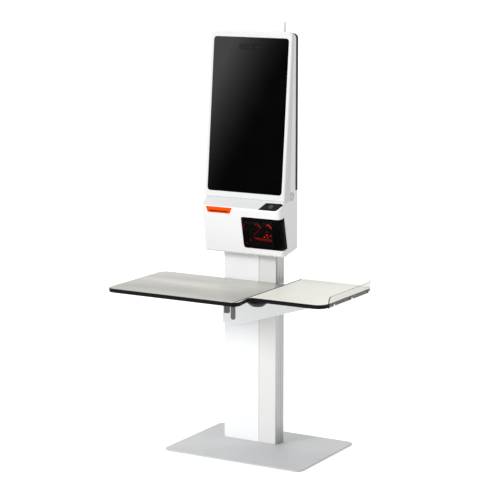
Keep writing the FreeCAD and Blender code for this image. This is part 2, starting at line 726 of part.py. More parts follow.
def shell_form(inset):
    """Closed form of the rear shell, moved inwards by inset except at its open front."""
    i = inset
    high = HEAD_TOP - i
    back = HEAD_BACK - i
    gap = PART_GAP
    lift = i * 1.04
    front = -60 if i else 0
    outline = [
        (PART_TOP_Y + gap + front, high),
        (PART_FOOT_Y + gap + front, LEDGE_Z),
        (PART_FOOT_Y + gap + front, underside_z(PART_FOOT_Y) + 10 + lift),
        (PART_FOOT_Y + 6 + front, underside_z(PART_FOOT_Y + 6 + front) + lift),
        (back, underside_z(back) + lift),
        (back, high),
    ]
    half = HEAD_HALF - i
    form = prism_x(outline, COLUMN_X - half, COLUMN_X + half)
    form = fillet_where(form, 18.0 - i, lambda d, c: abs(d.y) > 0.9 and c.z > high - 1)
    return fillet_where(form, 5.0 - i, lambda d, c: abs(d.z) > 0.9 and c.y > back - 1)


def cover_box(grow):
    return box(-600, 600, COVER_FRONT_Y - grow, 300, COVER_FOOT_Z - grow, 1700)


def rear_shell():
    """White rear housing: sides, roof, lower back and underside."""
    shell = shell_form(0).cut(shell_form(WALL))
    shell = shell.cut(cover_box(0.3))
    neck = box(COLUMN_X - POST_HALF - 1, COLUMN_X + POST_HALF + 1, POST_FRONT - 1, POST_BACK + 1,
               700, 850)
    shell = shell.cut(neck)
    shell = shell.cut(rod(LOCK_BARREL_R + RUNNING_FIT, V(COLUMN_X + 150, LOCK_Y, LOCK_Z), X_AXIS, 40))
    for side in (-1, 1):
        for k in range(6):
            x = COLUMN_X + side * 126 + (k - 2.5) * 6
            shell = shell.cut(box(x - 1.2, x + 1.2, 56, 84, 760, 790))
    return shell.removeSplitter()


def back_cover():
    """Black cover over the back of the display, with two banks of vents."""
    shell = shell_form(0).cut(shell_form(WALL)).common(cover_box(0))
    floor_wall = box(COLUMN_X - HEAD_HALF + 3, COLUMN_X + HEAD_HALF - 3, COVER_FRONT_Y, HEAD_BACK - 3,
                     COVER_FOOT_Z, COVER_FOOT_Z + 3)
    shell = shell.fuse(floor_wall)
    for level in (1150, 1480):
        for k in range(9):
            z = level + k * 8
            for side in (-1, 1):
                x = COLUMN_X + side * 62
                shell = shell.cut(box(x - 45, x + 45, HEAD_BACK - 8, HEAD_BACK + 1, z, z + 3))
    for x, z in cover_screw_places():
        shell = shell.cut(rod(2, V(x, HEAD_BACK - 8, z), Y_AXIS, 20))
    return shell.removeSplitter()


def cover_screw_places():
    return [(COLUMN_X + side * 150, z) for side in (-1, 1) for z in (1045, 1300, 1560)]


def cover_screws():
    screws = []
    for x, z in cover_screw_places():
        shank = rod(2, V(x, HEAD_BACK - 8, z), Y_AXIS, 8)
        cap = rod(4, V(x, HEAD_BACK, z), Y_AXIS, 1.8)
        screws.append(joined([shank, cap]).cut(rod(1.3, V(x, HEAD_BACK + 0.6, z), Y_AXIS, 3)))
    return group(screws)


# ---- head: inside ------------------------------------------------------------------------------
def chassis_plate():
    """Steel plate on the front of the post, reaching both side walls of the rear shell."""
    plate = box(COLUMN_X - 171.8, COLUMN_X + 171.8, 46, POST_FRONT, CHASSIS_FOOT, CHASSIS_TOP)
    relief = box(COLUMN_X + 158, COLUMN_X + 180, 40, 60, 940, 1030)
    return plate.cut(relief)


def main_board():
    """Computer board on four standoffs, with its heat sink and connectors."""
    pcb = box(COLUMN_X - 100, COLUMN_X + 70, 38.4, 40, 1060, 1180)
    parts = [pcb]
    for x in (COLUMN_X - 94, COLUMN_X + 64):
        for z in (1066, 1174):
            parts.append(rod(3, V(x, 40, z), Y_AXIS, 6))
    parts.append(box(COLUMN_X - 40, COLUMN_X + 10, 33, 38.4, 1100, 1150))
    for k in range(4):
        x = COLUMN_X - 90 + k * 18
        parts.append(box(x, x + 13, 34, 38.4, 1060, 1070))
    return joined(parts)


def power_supply():
    return box(COLUMN_X - 75, COLUMN_X + 75, 50, 88, 1070, 1190)


def speakers():
    units = []
    for side in (-1, 1):
        x = COLUMN_X + side * 126
        z = underside_z(HEAD_BACK) + 6
        case = box(x - 22, x + 22, 54, 90, z, z + 30)
        cone = rod(13, V(x, 72, z - 2.5), Z_AXIS, 2.5)
        units.append(joined([case, cone]))
    return group(units)


def printer_frame():
    """Receipt printer frame: two side cheeks joined by a rear web and a paper shelf."""
    outline = [(-7, 822), (-27, 910), (-27, 924), (46, 924), (46, 822)]
    left = prism_x(outline, ROLL_X0 - 9, ROLL_X0 - 5)
    right = prism_x(outline, ROLL_X1 + 5, ROLL_X1 + 9)
    web = box(ROLL_X0 - 5, ROLL_X1 + 5, 44, 46, 822, 924)
    head_bar = box(ROLL_X0 - 5, ROLL_X1 + 5, -5, 5, 897, 909)
    tie = box(ROLL_X0 - 5, ROLL_X1 + 5, 20, 44, 918, 924)
    frame = joined([left, right, web, head_bar, tie])
    for y, z, r in ((ROLL_Y, ROLL_Z, 4.0), (PLATEN_Y, PLATEN_Z, 3.0)):
        frame = frame.cut(rod(r + RUNNING_FIT, V(ROLL_X0 - 20, y, z), X_AXIS, 130))
    return frame


def paper_roll():
    """Roll of receipt paper."""
    return tube(ROLL_R, ROLL_CORE_R, V(ROLL_X0 + 0.5, ROLL_Y, ROLL_Z), X_AXIS, ROLL_X1 - ROLL_X0 - 1)


def paper_spindle():
    """Spindle through the roll, turning with it in the frame's cheeks."""
    core = rod(ROLL_CORE_R, V(ROLL_X0 - 3, ROLL_Y, ROLL_Z), X_AXIS, ROLL_X1 - ROLL_X0 + 6)
    ends = rod(4.0, V(ROLL_X0 - 9, ROLL_Y, ROLL_Z), X_AXIS, ROLL_X1 - ROLL_X0 + 18)
    return joined([core, ends])


def platen_roller():
    return tube(PLATEN_R, 3.0, V(ROLL_X0 - 3, PLATEN_Y, PLATEN_Z), X_AXIS, ROLL_X1 - ROLL_X0 + 6)


def platen_shaft():
    return rod(3.0, V(ROLL_X0 - 9, PLATEN_Y, PLATEN_Z), X_AXIS, ROLL_X1 - ROLL_X0 + 24)


def platen_gear():
    """Toothed wheel on the right-hand end of the platen shaft."""
    x = ROLL_X1 + 11
    teeth = 18
    wheel = rod(8.0, V(x, PLATEN_Y, PLATEN_Z), X_AXIS, 4)
    blanks = [wheel]
    for k in range(teeth):
        tooth = prism_x([(-0.9, 7), (0.9, 7), (0.45, 9.6), (-0.45, 9.6)], x, x + 4)
        tooth.rotate(V(0, 0, 0), X_AXIS, 360.0 * k / teeth)
        tooth.translate(V(0, PLATEN_Y, PLATEN_Z))
        blanks.append(tooth)
    return joined(blanks).cut(rod(3.0, V(x - 1, PLATEN_Y, PLATEN_Z), X_AXIS, 10))


def paper_cutter():
    """Fixed cutter bar across the paper path, behind the outlet."""
    bar = box(ROLL_X0 - 5, ROLL_X1 + 5, -26, -10, 914, 918)
    return bar


def scanner_housing():
    """Open-fronted case of the code scanner, parallel to its window."""
    case = box(30, 136, 9, 47, 42, 138)
    hollow = box(33, 133, 5, 44, 45, 135)
    return on_panel(case.cut(hollow))


def scanner_mirrors():
    """Four folding mirrors in the scanner's case."""
    mirrors = []
    for x, z, tilt, roll in ((52, 68, 24, 30), (52, 112, -24, -30), (114, 68, 24, -30), (114, 112, -24, 30)):
        plate = box(-14, 14, -0.8, 0.8, -12, 12)
        plate.rotate(V(0, 0, 0), X_AXIS, tilt)
        plate.rotate(V(0, 0, 0), Z_AXIS, roll)
        plate.translate(V(x, 30, z))
        mirrors.append(plate)
    return on_panel(group(mirrors))


def scanner_engine():
    """Laser and sensor block in the middle of the scanner's case."""
    block = box(72, 94, 24, 44, 78, 102)
    eye = rod(5, V(83, 20, 90), Y_AXIS, 4)
    return on_panel(joined([block, eye]))


# ---- lock --------------------------------------------------------------------------------------
def lock_escutcheon():
    x = COLUMN_X + HEAD_HALF
    return tube(LOCK_FACE_R, LOCK_BARREL_R + RUNNING_FIT, V(x, LOCK_Y, LOCK_Z), X_AXIS, 1.2)


def lock_barrel():
    x = COLUMN_X + HEAD_HALF
    barrel = rod(LOCK_BARREL_R, V(x - 14, LOCK_Y, LOCK_Z), X_AXIS, 14.9)
    key_slot = box(x - 4, x + 3, LOCK_Y - 1, LOCK_Y + 1, LOCK_Z - 4, LOCK_Z + 4)
    return barrel.cut(key_slot)


def lock_cam():
    """Cam on the barrel's inner end, pointing up while unlocked."""
    x = COLUMN_X + HEAD_HALF - 17
    tail = upright_plate([(-8, -8, 7), (8, -8, 7), (8, 33, 7), (-8, 33, 7)], 0, 2.5)
    tail.rotate(V(0, 0, 0), Z_AXIS, 90)
    tail.translate(V(x + 2.5, LOCK_Y, LOCK_Z))
    bolt = rod(4, V(x + 2.5, LOCK_Y, LOCK_Z), X_AXIS, 0.5)
    return joined([tail, bolt])


# ---- status lamp -------------------------------------------------------------------------------

def lamp_base():
    base = box(LAMP_X0, LAMP_X1, LAMP_Y0, LAMP_Y1, HEAD_TOP, LAMP_SPLIT)
    return fillet_where(base, 2.0, lambda d, c: abs(d.z) > 0.9)


def lamp_diffuser():
    outer = box(LAMP_X0, LAMP_X1, LAMP_Y0, LAMP_Y1, LAMP_SPLIT, LAMP_TOP)
    outer = fillet_where(outer, 2.0, lambda d, c: abs(d.z) > 0.9)
    hollow = box(LAMP_X0 + 2, LAMP_X1 - 2, LAMP_Y0 + 2, LAMP_Y1 - 2, LAMP_SPLIT - 1, LAMP_TOP - 2)
    return outer.cut(hollow)


MAKERS = [
    base_plate, floor_pads, base_bolts, post_foot, column_post,
    column_front_cover, column_service_panel, column_side_right, column_side_left, column_rear_cover,
    power_inlet, switch_bezel, power_switch,
    edge_band, worktop_board, bagging_plate, tray_laminate, table_bracket, table_arms,
    scale_housing, load_cell, bag_hooks, guard_screen, guard_screws,
    service_door, scanner_window, printer_outlet, contactless_pad, contactless_board, door_catch,
    hinge_brackets, hinge_pins,
    front_bezel, screen_glass, display_frame, display_module, camera_module, camera_lenses,
    rear_shell, back_cover, cover_screws,
    chassis_plate, main_board, power_supply, speakers,
    printer_frame, paper_roll, paper_spindle, platen_roller, platen_shaft, platen_gear, paper_cutter,
    scanner_housing, scanner_mirrors, scanner_engine,
    lock_escutcheon, lock_barrel, lock_cam,
    lamp_base, lamp_diffuser,
]

os.makedirs("parts", exist_ok=True)
for maker in MAKERS:
    save(maker.__name__, maker())
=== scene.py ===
import json
import math

import bmesh
import bpy
from mathutils import Matrix, Vector

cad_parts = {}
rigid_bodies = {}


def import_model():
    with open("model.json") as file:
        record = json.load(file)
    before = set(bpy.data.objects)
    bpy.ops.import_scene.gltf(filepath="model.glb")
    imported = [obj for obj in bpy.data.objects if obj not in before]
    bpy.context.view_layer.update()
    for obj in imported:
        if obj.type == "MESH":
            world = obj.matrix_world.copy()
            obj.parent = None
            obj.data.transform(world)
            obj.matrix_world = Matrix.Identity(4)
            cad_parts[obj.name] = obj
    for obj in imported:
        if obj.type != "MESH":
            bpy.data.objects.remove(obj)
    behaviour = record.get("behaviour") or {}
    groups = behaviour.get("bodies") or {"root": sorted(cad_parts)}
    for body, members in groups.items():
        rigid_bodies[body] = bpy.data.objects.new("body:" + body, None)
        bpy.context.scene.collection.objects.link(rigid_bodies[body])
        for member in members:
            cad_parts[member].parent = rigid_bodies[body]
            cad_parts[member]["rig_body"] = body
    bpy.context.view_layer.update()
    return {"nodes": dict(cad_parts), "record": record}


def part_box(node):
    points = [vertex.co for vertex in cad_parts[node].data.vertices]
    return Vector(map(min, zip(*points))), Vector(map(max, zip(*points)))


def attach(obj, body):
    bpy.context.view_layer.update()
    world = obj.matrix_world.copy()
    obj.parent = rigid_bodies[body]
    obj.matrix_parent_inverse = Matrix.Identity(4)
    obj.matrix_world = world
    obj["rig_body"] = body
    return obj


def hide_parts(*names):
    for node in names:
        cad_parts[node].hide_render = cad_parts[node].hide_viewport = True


# Looks for the self-service kiosk: studio, materials and the detail around the CAD frame.
# Metres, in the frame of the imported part: +X to the customer's right, -Y towards the customer.

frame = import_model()
NODES = frame["nodes"]
SLOT_OF = {row["node"]: row["material_slot"] for row in frame["record"]["subparts"]}

MM = 0.001
RIGHT = Vector((1, 0, 0))
BACK = Vector((0, 1, 0))
UP = Vector((0, 0, 1))
LEDGE_WAY = Vector((0, -0.74, 0.67))    # roughly out of the door's sloping ledge
DOOR_WAY = Vector((0, -0.97, -0.23))    # and out of its front
SMOOTH_ANGLE = math.radians(35)


# ---- studio ------------------------------------------------------------------------------------
CAMERA_AIM = Vector((0.010, -0.165, 0.842))
CAMERA_DISTANCE = 7.0
CAMERA_AZIMUTH = math.radians(30.19)
CAMERA_ELEVATION = math.radians(9.82)
CAMERA_LENS = 140.9             # millimetres, like the sensor's width
SENSOR_WIDTH = 36.0
SUN_DIRECTION = Vector((0.42, 0.80, -0.42))
SUN_STRENGTH = 1.38
SUN_WIDTH = math.radians(16)
SKY_LEVEL = 0.98                # soft light on matt surfaces
SKY_TILT = 0.74                 # how much of it the customer's right lacks, and the left gains
BACKGROUND_LEVEL = 1.8          # what is seen directly beyond the floor
ROOM_LEVEL = 0.02               # what glossy surfaces mirror where there is nothing else
# each range below is where a light fades in, as one component of the direction it is seen in
CEILING_RANGE = (0.13, 0.42)
CEILING_LEVEL = 1.08
BACKDROP_RANGE = (-0.25, 0.35)
BACKDROP_LEVEL = 1.12
CARD_FRONT_RANGE = (0.3, 0.6)
CARD_SIDE_RANGE = (-0.86, -0.66)
CARD_LOW_RANGE = (-0.21, -0.13)
CARD_LEVEL = 1.75
CARD_FALLOFF = 2.2
CARD_ACROSS = -33.7             # slope of the card's soft edge across and up, and its place
CARD_UP = 12.5
CARD_SHIFT = -17.19
FLOOR_HALF = 120.0
FLOOR_GLOW = 0.68               # seen directly or mirrored
FLOOR_BOUNCE = 0.30             # seen by matt surfaces


def make_camera():
    data = bpy.data.cameras.new("camera")
    data.lens = CAMERA_LENS
    data.sensor_width = SENSOR_WIDTH
    data.clip_end = 4 * FLOOR_HALF
    camera = bpy.data.objects.new("camera", data)
    back = Vector((math.sin(CAMERA_AZIMUTH) * math.cos(CAMERA_ELEVATION),
                   -math.cos(CAMERA_AZIMUTH) * math.cos(CAMERA_ELEVATION),
                   math.sin(CAMERA_ELEVATION)))
    camera.location = CAMERA_AIM + back * CAMERA_DISTANCE
    camera.rotation_euler = (math.pi / 2 - CAMERA_ELEVATION, 0, CAMERA_AZIMUTH)
    bpy.context.scene.collection.objects.link(camera)
    bpy.context.scene.camera = camera


def make_sun():
    data = bpy.data.lights.new("key", "SUN")
    data.energy = SUN_STRENGTH
    data.angle = SUN_WIDTH
    sun = bpy.data.objects.new("key", data)
    sun.rotation_euler = SUN_DIRECTION.to_track_quat("-Z", "Y").to_euler()
    sun.visible_glossy = False
    bpy.context.scene.collection.objects.link(sun)


def make_world():
    """Soft light from all round for matt surfaces, and a plain bright background. Glossy ones
    mirror a bright backdrop, a bright ceiling and a dark room in front, with the soft edge of a
    light card low on the left."""
    world = bpy.data.worlds.new("studio")
    bpy.context.scene.world = world
    world.use_nodes = True
    tree = world.node_tree
    tree.nodes.clear()

    def math_node(operation, a, b=0.0, c=0.0):
        node = tree.nodes.new("ShaderNodeMath")
        node.operation = operation
        for socket, value in zip(node.inputs, (a, b, c)):
            if isinstance(value, (int, float)):
                socket.default_value = value
            else:
                tree.links.new(value, socket)
        return node.outputs[0]

    def smooth(value, reach, top=1.0):
        node = tree.nodes.new("ShaderNodeMapRange")
        node.interpolation_type = "SMOOTHSTEP"
        tree.links.new(value, node.inputs["Value"])
        node.inputs["From Min"].default_value, node.inputs["From Max"].default_value = reach
        node.inputs["To Max"].default_value = top
        return node.outputs[0]

    path = tree.nodes.new("ShaderNodeLightPath")
    direction = tree.nodes.new("ShaderNodeTexCoord").outputs["Generated"]
    split = tree.nodes.new("ShaderNodeSeparateXYZ")
    tree.links.new(direction, split.inputs[0])
    x, y, z = split.outputs
    ceiling = smooth(z, CEILING_RANGE, CEILING_LEVEL)
    backdrop = smooth(y, BACKDROP_RANGE, BACKDROP_LEVEL)
    # the card's edge runs diagonally through the directions that the leaning screen mirrors
    rise = math_node("MULTIPLY_ADD", z, CARD_UP, CARD_SHIFT)
    rise = math_node("MULTIPLY_ADD", x, CARD_ACROSS, rise)
    rise = math_node("MINIMUM", math_node("MAXIMUM", rise, 0.0), 1.0)
    card = math_node("MULTIPLY", math_node("POWER", rise, CARD_FALLOFF), CARD_LEVEL)
    for limit in (smooth(math_node("MULTIPLY", y, -1.0), CARD_FRONT_RANGE),
                  smooth(x, CARD_SIDE_RANGE),
                  smooth(math_node("MULTIPLY", z, -1.0), CARD_LOW_RANGE)):
        card = math_node("MULTIPLY", card, limit)
    level = math_node("MAXIMUM", math_node("MAXIMUM", ceiling, backdrop), card)
    level = math_node("MULTIPLY_ADD", level, 1.0 - ROOM_LEVEL, ROOM_LEVEL)

    soft = tree.nodes.new("ShaderNodeBackground")
    soft.inputs["Color"].default_value = (1.0, 1.0, 1.0, 1)
    sky = math_node("MULTIPLY_ADD", x, -SKY_TILT, SKY_LEVEL)
    background = math_node("MULTIPLY", path.outputs["Is Camera Ray"], BACKGROUND_LEVEL)
    tree.links.new(math_node("MAXIMUM", sky, background), soft.inputs["Strength"])
    glossy = tree.nodes.new("ShaderNodeBackground")
    tree.links.new(level, glossy.inputs["Strength"])
    mix = tree.nodes.new("ShaderNodeMixShader")
    tree.links.new(path.outputs["Is Glossy Ray"], mix.inputs[0])
    tree.links.new(soft.outputs[0], mix.inputs[1])
    tree.links.new(glossy.outputs[0], mix.inputs[2])
    out = tree.nodes.new("ShaderNodeOutputWorld")
    tree.links.new(mix.outputs[0], out.inputs[0])


# ---- materials ---------------------------------------------------------------------------------
class Finish:
    """A Principled material whose colour, roughness and relief come from noise in object space."""

    def __init__(self, name, colour, rough, metallic=0.0, specular=0.5):
        self.material = bpy.data.materials.new(name)
        self.material.use_nodes = True
        self.tree = self.material.node_tree
        self.shader = self.tree.nodes["Principled BSDF"]
        self.shader.inputs["Metallic"].default_value = metallic
        self.shader.inputs["Specular IOR Level"].default_value = specular
        self.coords = self.node("ShaderNodeTexCoord").outputs["Object"]
        self.colour = self.constant_colour(colour)
        self.rough = rough
        self.height = None

    def node(self, kind, **settings):
        made = self.tree.nodes.new(kind)
        for key, value in settings.items():
            setattr(made, key, value)
        return made

    def join(self, source, target):
        self.tree.links.new(source, target)

    def constant_colour(self, colour):
        made = self.node("ShaderNodeRGB")
        made.outputs[0].default_value = (*colour, 1)
        return made.outputs[0]

    def mapped(self, scale, turn):
        made = self.node("ShaderNodeMapping")
        self.join(self.coords, made.inputs["Vector"])
        made.inputs["Scale"].default_value = scale
        made.inputs["Rotation"].default_value = turn
        return made.outputs[0]

    def noise(self, scale, detail=3.0, stretch=(1, 1, 1), turn=(0, 0, 0)):
        made = self.node("ShaderNodeTexNoise")
        self.join(self.mapped(stretch, turn), made.inputs["Vector"])
        made.inputs["Scale"].default_value = scale
        made.inputs["Detail"].default_value = detail
        return made.outputs["Fac"]

    def cells(self, scale, stretch=(1, 1, 1)):
        made = self.node("ShaderNodeTexVoronoi")
        self.join(self.mapped(stretch, (0, 0, 0)), made.inputs["Vector"])
        made.inputs["Scale"].default_value = scale
        return made.outputs["Distance"]

    def ranged(self, value, low, high, to_low=0.0, to_high=1.0):
        made = self.node("ShaderNodeMapRange")
        self.join(value, made.inputs["Value"])
        for key, number in (("From Min", low), ("From Max", high),
                            ("To Min", to_low), ("To Max", to_high)):
            made.inputs[key].default_value = number
        return made.outputs[0]

    def calc(self, operation, a, b):
        made = self.node("ShaderNodeMath", operation=operation)
        for socket, value in zip(made.inputs, (a, b)):
            if isinstance(value, (int, float)):
                socket.default_value = value
            else:
                self.join(value, socket)
        return made.outputs[0]

    def shade(self, mask, colour):
        """Blend towards a colour where the mask is 1."""
        made = self.node("ShaderNodeMix", data_type="RGBA")
        self.join(mask, made.inputs[0])
        self.join(self.colour, made.inputs[6])
        made.inputs[7].default_value = (*colour, 1)
        self.colour = made.outputs[2]
        return self

    def tone(self, colour, scale, reach=1.0, stretch=(1, 1, 1), turn=(0, 0, 0),
             low=0.38, high=0.66):
        """Large soft patches of a second colour."""
        return self.shade(self.ranged(self.noise(scale, 2.0, stretch, turn), low, high, 0, reach),
                          colour)

    def speckle(self, colour, scale, reach, low=0.56, high=0.66):
        return self.shade(self.ranged(self.noise(scale, 1.0), low, high, 0, reach), colour)

    def vary(self, amount, scale, stretch=(1, 1, 1), turn=(0, 0, 0)):
        """Roughness that differs by up to amount either way."""
        part = self.ranged(self.noise(scale, 3.0, stretch, turn), 0.3, 0.7, -amount, amount)
        self.rough = self.calc("ADD", part, self.rough)
        return self

    def relief(self, height, depth, strength=1.0):
        """Bump: height is a 0 to 1 pattern and depth is its real depth in metres."""
        made = self.node("ShaderNodeBump")
        made.inputs["Strength"].default_value = strength
        made.inputs["Distance"].default_value = depth
        self.join(height, made.inputs["Height"])
        if self.height is not None:
            self.join(self.height, made.inputs["Normal"])
        self.height = made.outputs[0]
        return self

    def edges(self, colour, radius, reach, scale=60):
        """Wear along the outer edges, broken up by noise; on the diffuser the same mask paints a
        grey shade outline.
        """
        bevel = self.node("ShaderNodeBevel", samples=4)
        bevel.inputs["Radius"].default_value = radius
        geometry = self.node("ShaderNodeNewGeometry")
        dot = self.node("ShaderNodeVectorMath", operation="DOT_PRODUCT")
        self.join(bevel.outputs[0], dot.inputs[0])
        self.join(geometry.outputs["Normal"], dot.inputs[1])
        edge = self.ranged(dot.outputs["Value"], 0.995, 0.86)
        broken = self.ranged(self.noise(scale, 4.0), 0.40, 0.62, 0.15, 1.0)
        worn = self.calc("MULTIPLY", self.calc("MULTIPLY", edge, broken), reach)
        return self.shade(worn, colour)

    def done(self):
        self.join(self.colour, self.shader.inputs["Base Color"])
        if isinstance(self.rough, (int, float)):
            self.shader.inputs["Roughness"].default_value = self.rough
        else:
            self.join(self.rough, self.shader.inputs["Roughness"])
        if self.height is not None:
            self.join(self.height, self.shader.inputs["Normal"])
        return self.material


def powder_coat(name, colour, shadow, rough=0.42):
    """Satin powder coat: fine orange peel, slight unevenness of tone and gloss."""
    f = Finish(name, colour, rough)
    f.tone(shadow, 3.5, 0.7).speckle(shadow, 1500, 0.35)
    f.vary(0.05, 9).vary(0.03, 700)
    f.relief(f.noise(650, 2.0), 0.00006, 0.5).relief(f.noise(6, 1.0), 0.0012, 0.10)
    f.edges(tuple(c * 0.93 for c in colour), 0.0012, 0.5)
    return f.done()


def moulding(name, colour, shadow, rough, specular=0.5, grain=1100, depth=0.00004):
    """Injection moulding: spark-eroded fine grain over faint flow waviness."""
    f = Finish(name, colour, rough, specular=specular)
    f.tone(shadow, 5.0, 0.6).speckle(shadow, 1800, 0.25)
    f.vary(0.05, 12).vary(0.04, 900)
    f.relief(f.noise(grain, 2.0), depth, 0.5).relief(f.noise(9, 1.0), 0.0008, 0.08)
    f.edges(tuple(min(1.0, c * 0.9 + 0.03) for c in colour), 0.001, 0.45)
    return f.done()


def brushed(name, colour, shadow, rough, stretch, strength=0.3):
    """Metal with fine lines along the long direction of stretch."""
    f = Finish(name, colour, rough, metallic=1.0)
    f.tone(shadow, 2.2, 0.8)
    f.shade(f.ranged(f.noise(1.0, 3.0, stretch), 0.35, 0.7, 0, 0.35), shadow)
    f.vary(0.05, 5).vary(0.06, 1.0, stretch)
    f.relief(f.noise(1.0, 2.0, stretch), 0.00004, strength)
    f.edges(tuple(min(1.0, c * 1.12) for c in colour), 0.0012, 0.5)
    return f.done()


def make_worktop_steel():
    """Satin stainless plate: short grain, diagonal dark and light bands of painted reflection, and
    light wear.
    """
    f = Finish("satin_steel", (0.78, 0.77, 0.725), 0.40, metallic=1.0)
    lines = (700, 9, 700)
    turn = (0, 0, math.radians(-28))
    # painted reflection: long diagonal bands, darker and lighter, stand in for the light and dark
    # the plate mirrors
    f.tone((0.54, 0.532, 0.49), 1.0, 1.0, (1.1, 5.2, 1), turn, 0.36, 0.62)
    f.tone((0.84, 0.83, 0.78), 1.0, 0.35, (0.9, 3.4, 1), turn, 0.50, 0.72)
    f.shade(f.ranged(f.noise(1.0, 2.0, lines), 0.3, 0.7, 0, 0.22), (0.60, 0.59, 0.55))
    f.speckle((0.80, 0.795, 0.76), 1400, 0.25)
    scratches = f.ranged(f.noise(1.0, 2.0, (260, 6, 260), (0, 0, math.radians(37))), 0.66, 0.70)
    f.shade(f.calc("MULTIPLY", scratches, 0.18), (0.90, 0.89, 0.86))
    f.vary(0.05, 4).vary(0.05, 1.0, lines)
    f.relief(f.noise(1.0, 2.0, lines), 0.00003, 0.25)
    f.edges((0.90, 0.89, 0.86), 0.0012, 0.6)
    return f.done()


def make_laminate():
    """Cream high-pressure laminate: pearl-textured, with a faint linen variation of tone."""
    f = Finish("cream_laminate", (0.795, 0.780, 0.715), 0.42)
    f.tone((0.75, 0.735, 0.665), 7.0, 0.55)
    f.speckle((0.68, 0.665, 0.595), 1100, 0.30)
    f.speckle((0.86, 0.85, 0.80), 1700, 0.30)
    f.vary(0.06, 10)
    f.relief(f.noise(900, 3.0), 0.00008, 0.5)
    return f.done()


def make_board():
    """Pressed board: chips and resin seen on the cut and under side."""
    f = Finish("board", (0.42, 0.30, 0.19), 0.72)
    f.shade(f.ranged(f.cells(300, (1, 1, 0.4)), 0.1, 0.5, 0, 0.8), (0.55, 0.42, 0.28))
    f.speckle((0.22, 0.14, 0.08), 500, 0.6)
    f.relief(f.noise(320, 4.0), 0.0003, 0.6)
    return f.done()


def make_base_paint():
    """Silver-grey metallic powder coat on the base plate, with fine flake and light scuffs."""
    f = Finish("base_paint", (0.56, 0.57, 0.575), 0.52, metallic=0.2)
    f.tone((0.50, 0.512, 0.52), 2.6, 0.9)
    f.speckle((0.72, 0.73, 0.74), 2400, 0.45)
    f.speckle((0.42, 0.43, 0.44), 1500, 0.30)
    f.shade(f.calc("MULTIPLY", f.ranged(f.noise(14, 5.0, (1, 3, 1)), 0.62, 0.72), 0.15),
            (0.47, 0.475, 0.48))
    f.vary(0.06, 6).vary(0.05, 900)
    f.relief(f.noise(1100, 2.0), 0.00008, 0.5)
    f.edges((0.70, 0.71, 0.72), 0.0015, 0.7)
    return f.done()


def glassy(name, colour, rough, specular=0.5, wiping=0.05):
    """Polished dark surface with faint wiping marks in its gloss."""
    f = Finish(name, colour, rough, specular=specular)
    f.tone(tuple(c * 1.6 + 0.0004 for c in colour), 8.0, 0.6)
    wiped = f.ranged(f.noise(5, 4.0, (1, 1, 2.5), (0, 0.6, 0)), 0.45, 0.75, 0, wiping)
    f.rough = f.calc("ADD", wiped, rough)
    f.relief(f.noise(3.0, 1.0), 0.0004, 0.02)
    return f


def make_scanner_glass():
    f = glassy("scanner_glass", (0.002, 0.0015, 0.0015), 0.06, 0.03)
    f.shader.inputs["Alpha"].default_value = 0.76
    return f.done()


def make_acrylic():
    """Clear bent acrylic sheet."""
    f = Finish("clear_acrylic", (0.84, 0.84, 0.82), 0.02)
    f.tone((0.80, 0.80, 0.78), 4.0, 0.6)
    f.vary(0.015, 18)
    f.relief(f.noise(6, 1.0), 0.0004, 0.05)
    f.shader.inputs["Specular IOR Level"].default_value = 0.15
    f.shader.inputs["Transmission Weight"].default_value = 1.0
    f.shader.inputs["IOR"].default_value = 1.27
    return f.done()


def make_diffuser():
    """Milky lamp diffuser: dense white plastic that lets a little light through."""
    f = Finish("diffuser", (0.93, 0.93, 0.925), 0.38)
    f.tone((0.88, 0.882, 0.88), 12, 0.5)
    # painted shade: a grey outline along the diffuser's rim
    f.vary(0.04, 30).edges((0.66, 0.66, 0.66), 0.0022, 0.9, 20)
    f.relief(f.noise(900, 2.0), 0.00003, 0.4)
    f.shader.inputs["Transmission Weight"].default_value = 0.03
    f.shader.inputs["Subsurface Weight"].default_value = 0.25
    f.shader.inputs["Subsurface Scale"].default_value = 0.004
    f.shader.inputs["Emission Color"].default_value = (1.0, 1.0, 0.99, 1)
    f.shader.inputs["Emission Strength"].default_value = 0.30
    return f.done()


def make_circuit_board():
    """Solder mask with faint copper runs beneath it."""
    f = Finish("circuit_board", (0.012, 0.10, 0.045), 0.34)
    runs = f.node("ShaderNodeTexBrick")
    f.join(f.mapped((1, 1, 1), (math.pi / 2, 0, 0)), runs.inputs["Vector"])
    runs.inputs["Scale"].default_value = 160
    runs.inputs["Mortar Size"].default_value = 0.012
    f.shade(f.calc("MULTIPLY", runs.outputs["Fac"], 0.8), (0.03, 0.20, 0.09))
    f.speckle((0.35, 0.30, 0.16), 420, 0.5, 0.70, 0.74)
    f.vary(0.08, 90)
    f.relief(runs.outputs["Fac"], 0.00008, 0.6)
    return f.done()


def make_paper():
    f = Finish("paper", (0.90, 0.90, 0.88), 0.66)
    f.tone((0.84, 0.84, 0.82), 30, 0.5)
    layers = f.noise(1.0, 2.0, (25, 1600, 1600))
    f.shade(f.ranged(layers, 0.4, 0.7, 0, 0.25), (0.74, 0.74, 0.72))
    f.relief(layers, 0.00006, 0.5)
    return f.done()


def make_rubber():
    f = Finish("rubber", (0.028, 0.028, 0.029), 0.78)
    f.tone((0.05, 0.05, 0.05), 30, 0.8).speckle((0.08, 0.08, 0.08), 700, 0.4)
    f.vary(0.08, 40)
    f.relief(f.noise(520, 3.0), 0.00015, 0.7)
    return f.done()


def make_mirror():
    f = Finish("mirror", (0.85, 0.85, 0.87), 0.03, metallic=1.0)
    f.tone((0.75, 0.75, 0.78), 60, 0.5).vary(0.03, 60)
    return f.done()


def make_glow(name, strength):
    """Red light of the code scanner, brighter and dimmer along its length."""
    f = Finish(name, (0.30, 0.01, 0.004), 0.5)
    pulse = f.ranged(f.noise(140, 2.0), 0.3, 0.7, 0.5, 1.0)
    f.shade(pulse, (0.55, 0.02, 0.008))
    f.join(f.colour, f.shader.inputs["Emission Color"])
    f.shader.inputs["Emission Strength"].default_value = strength
    return f.done()


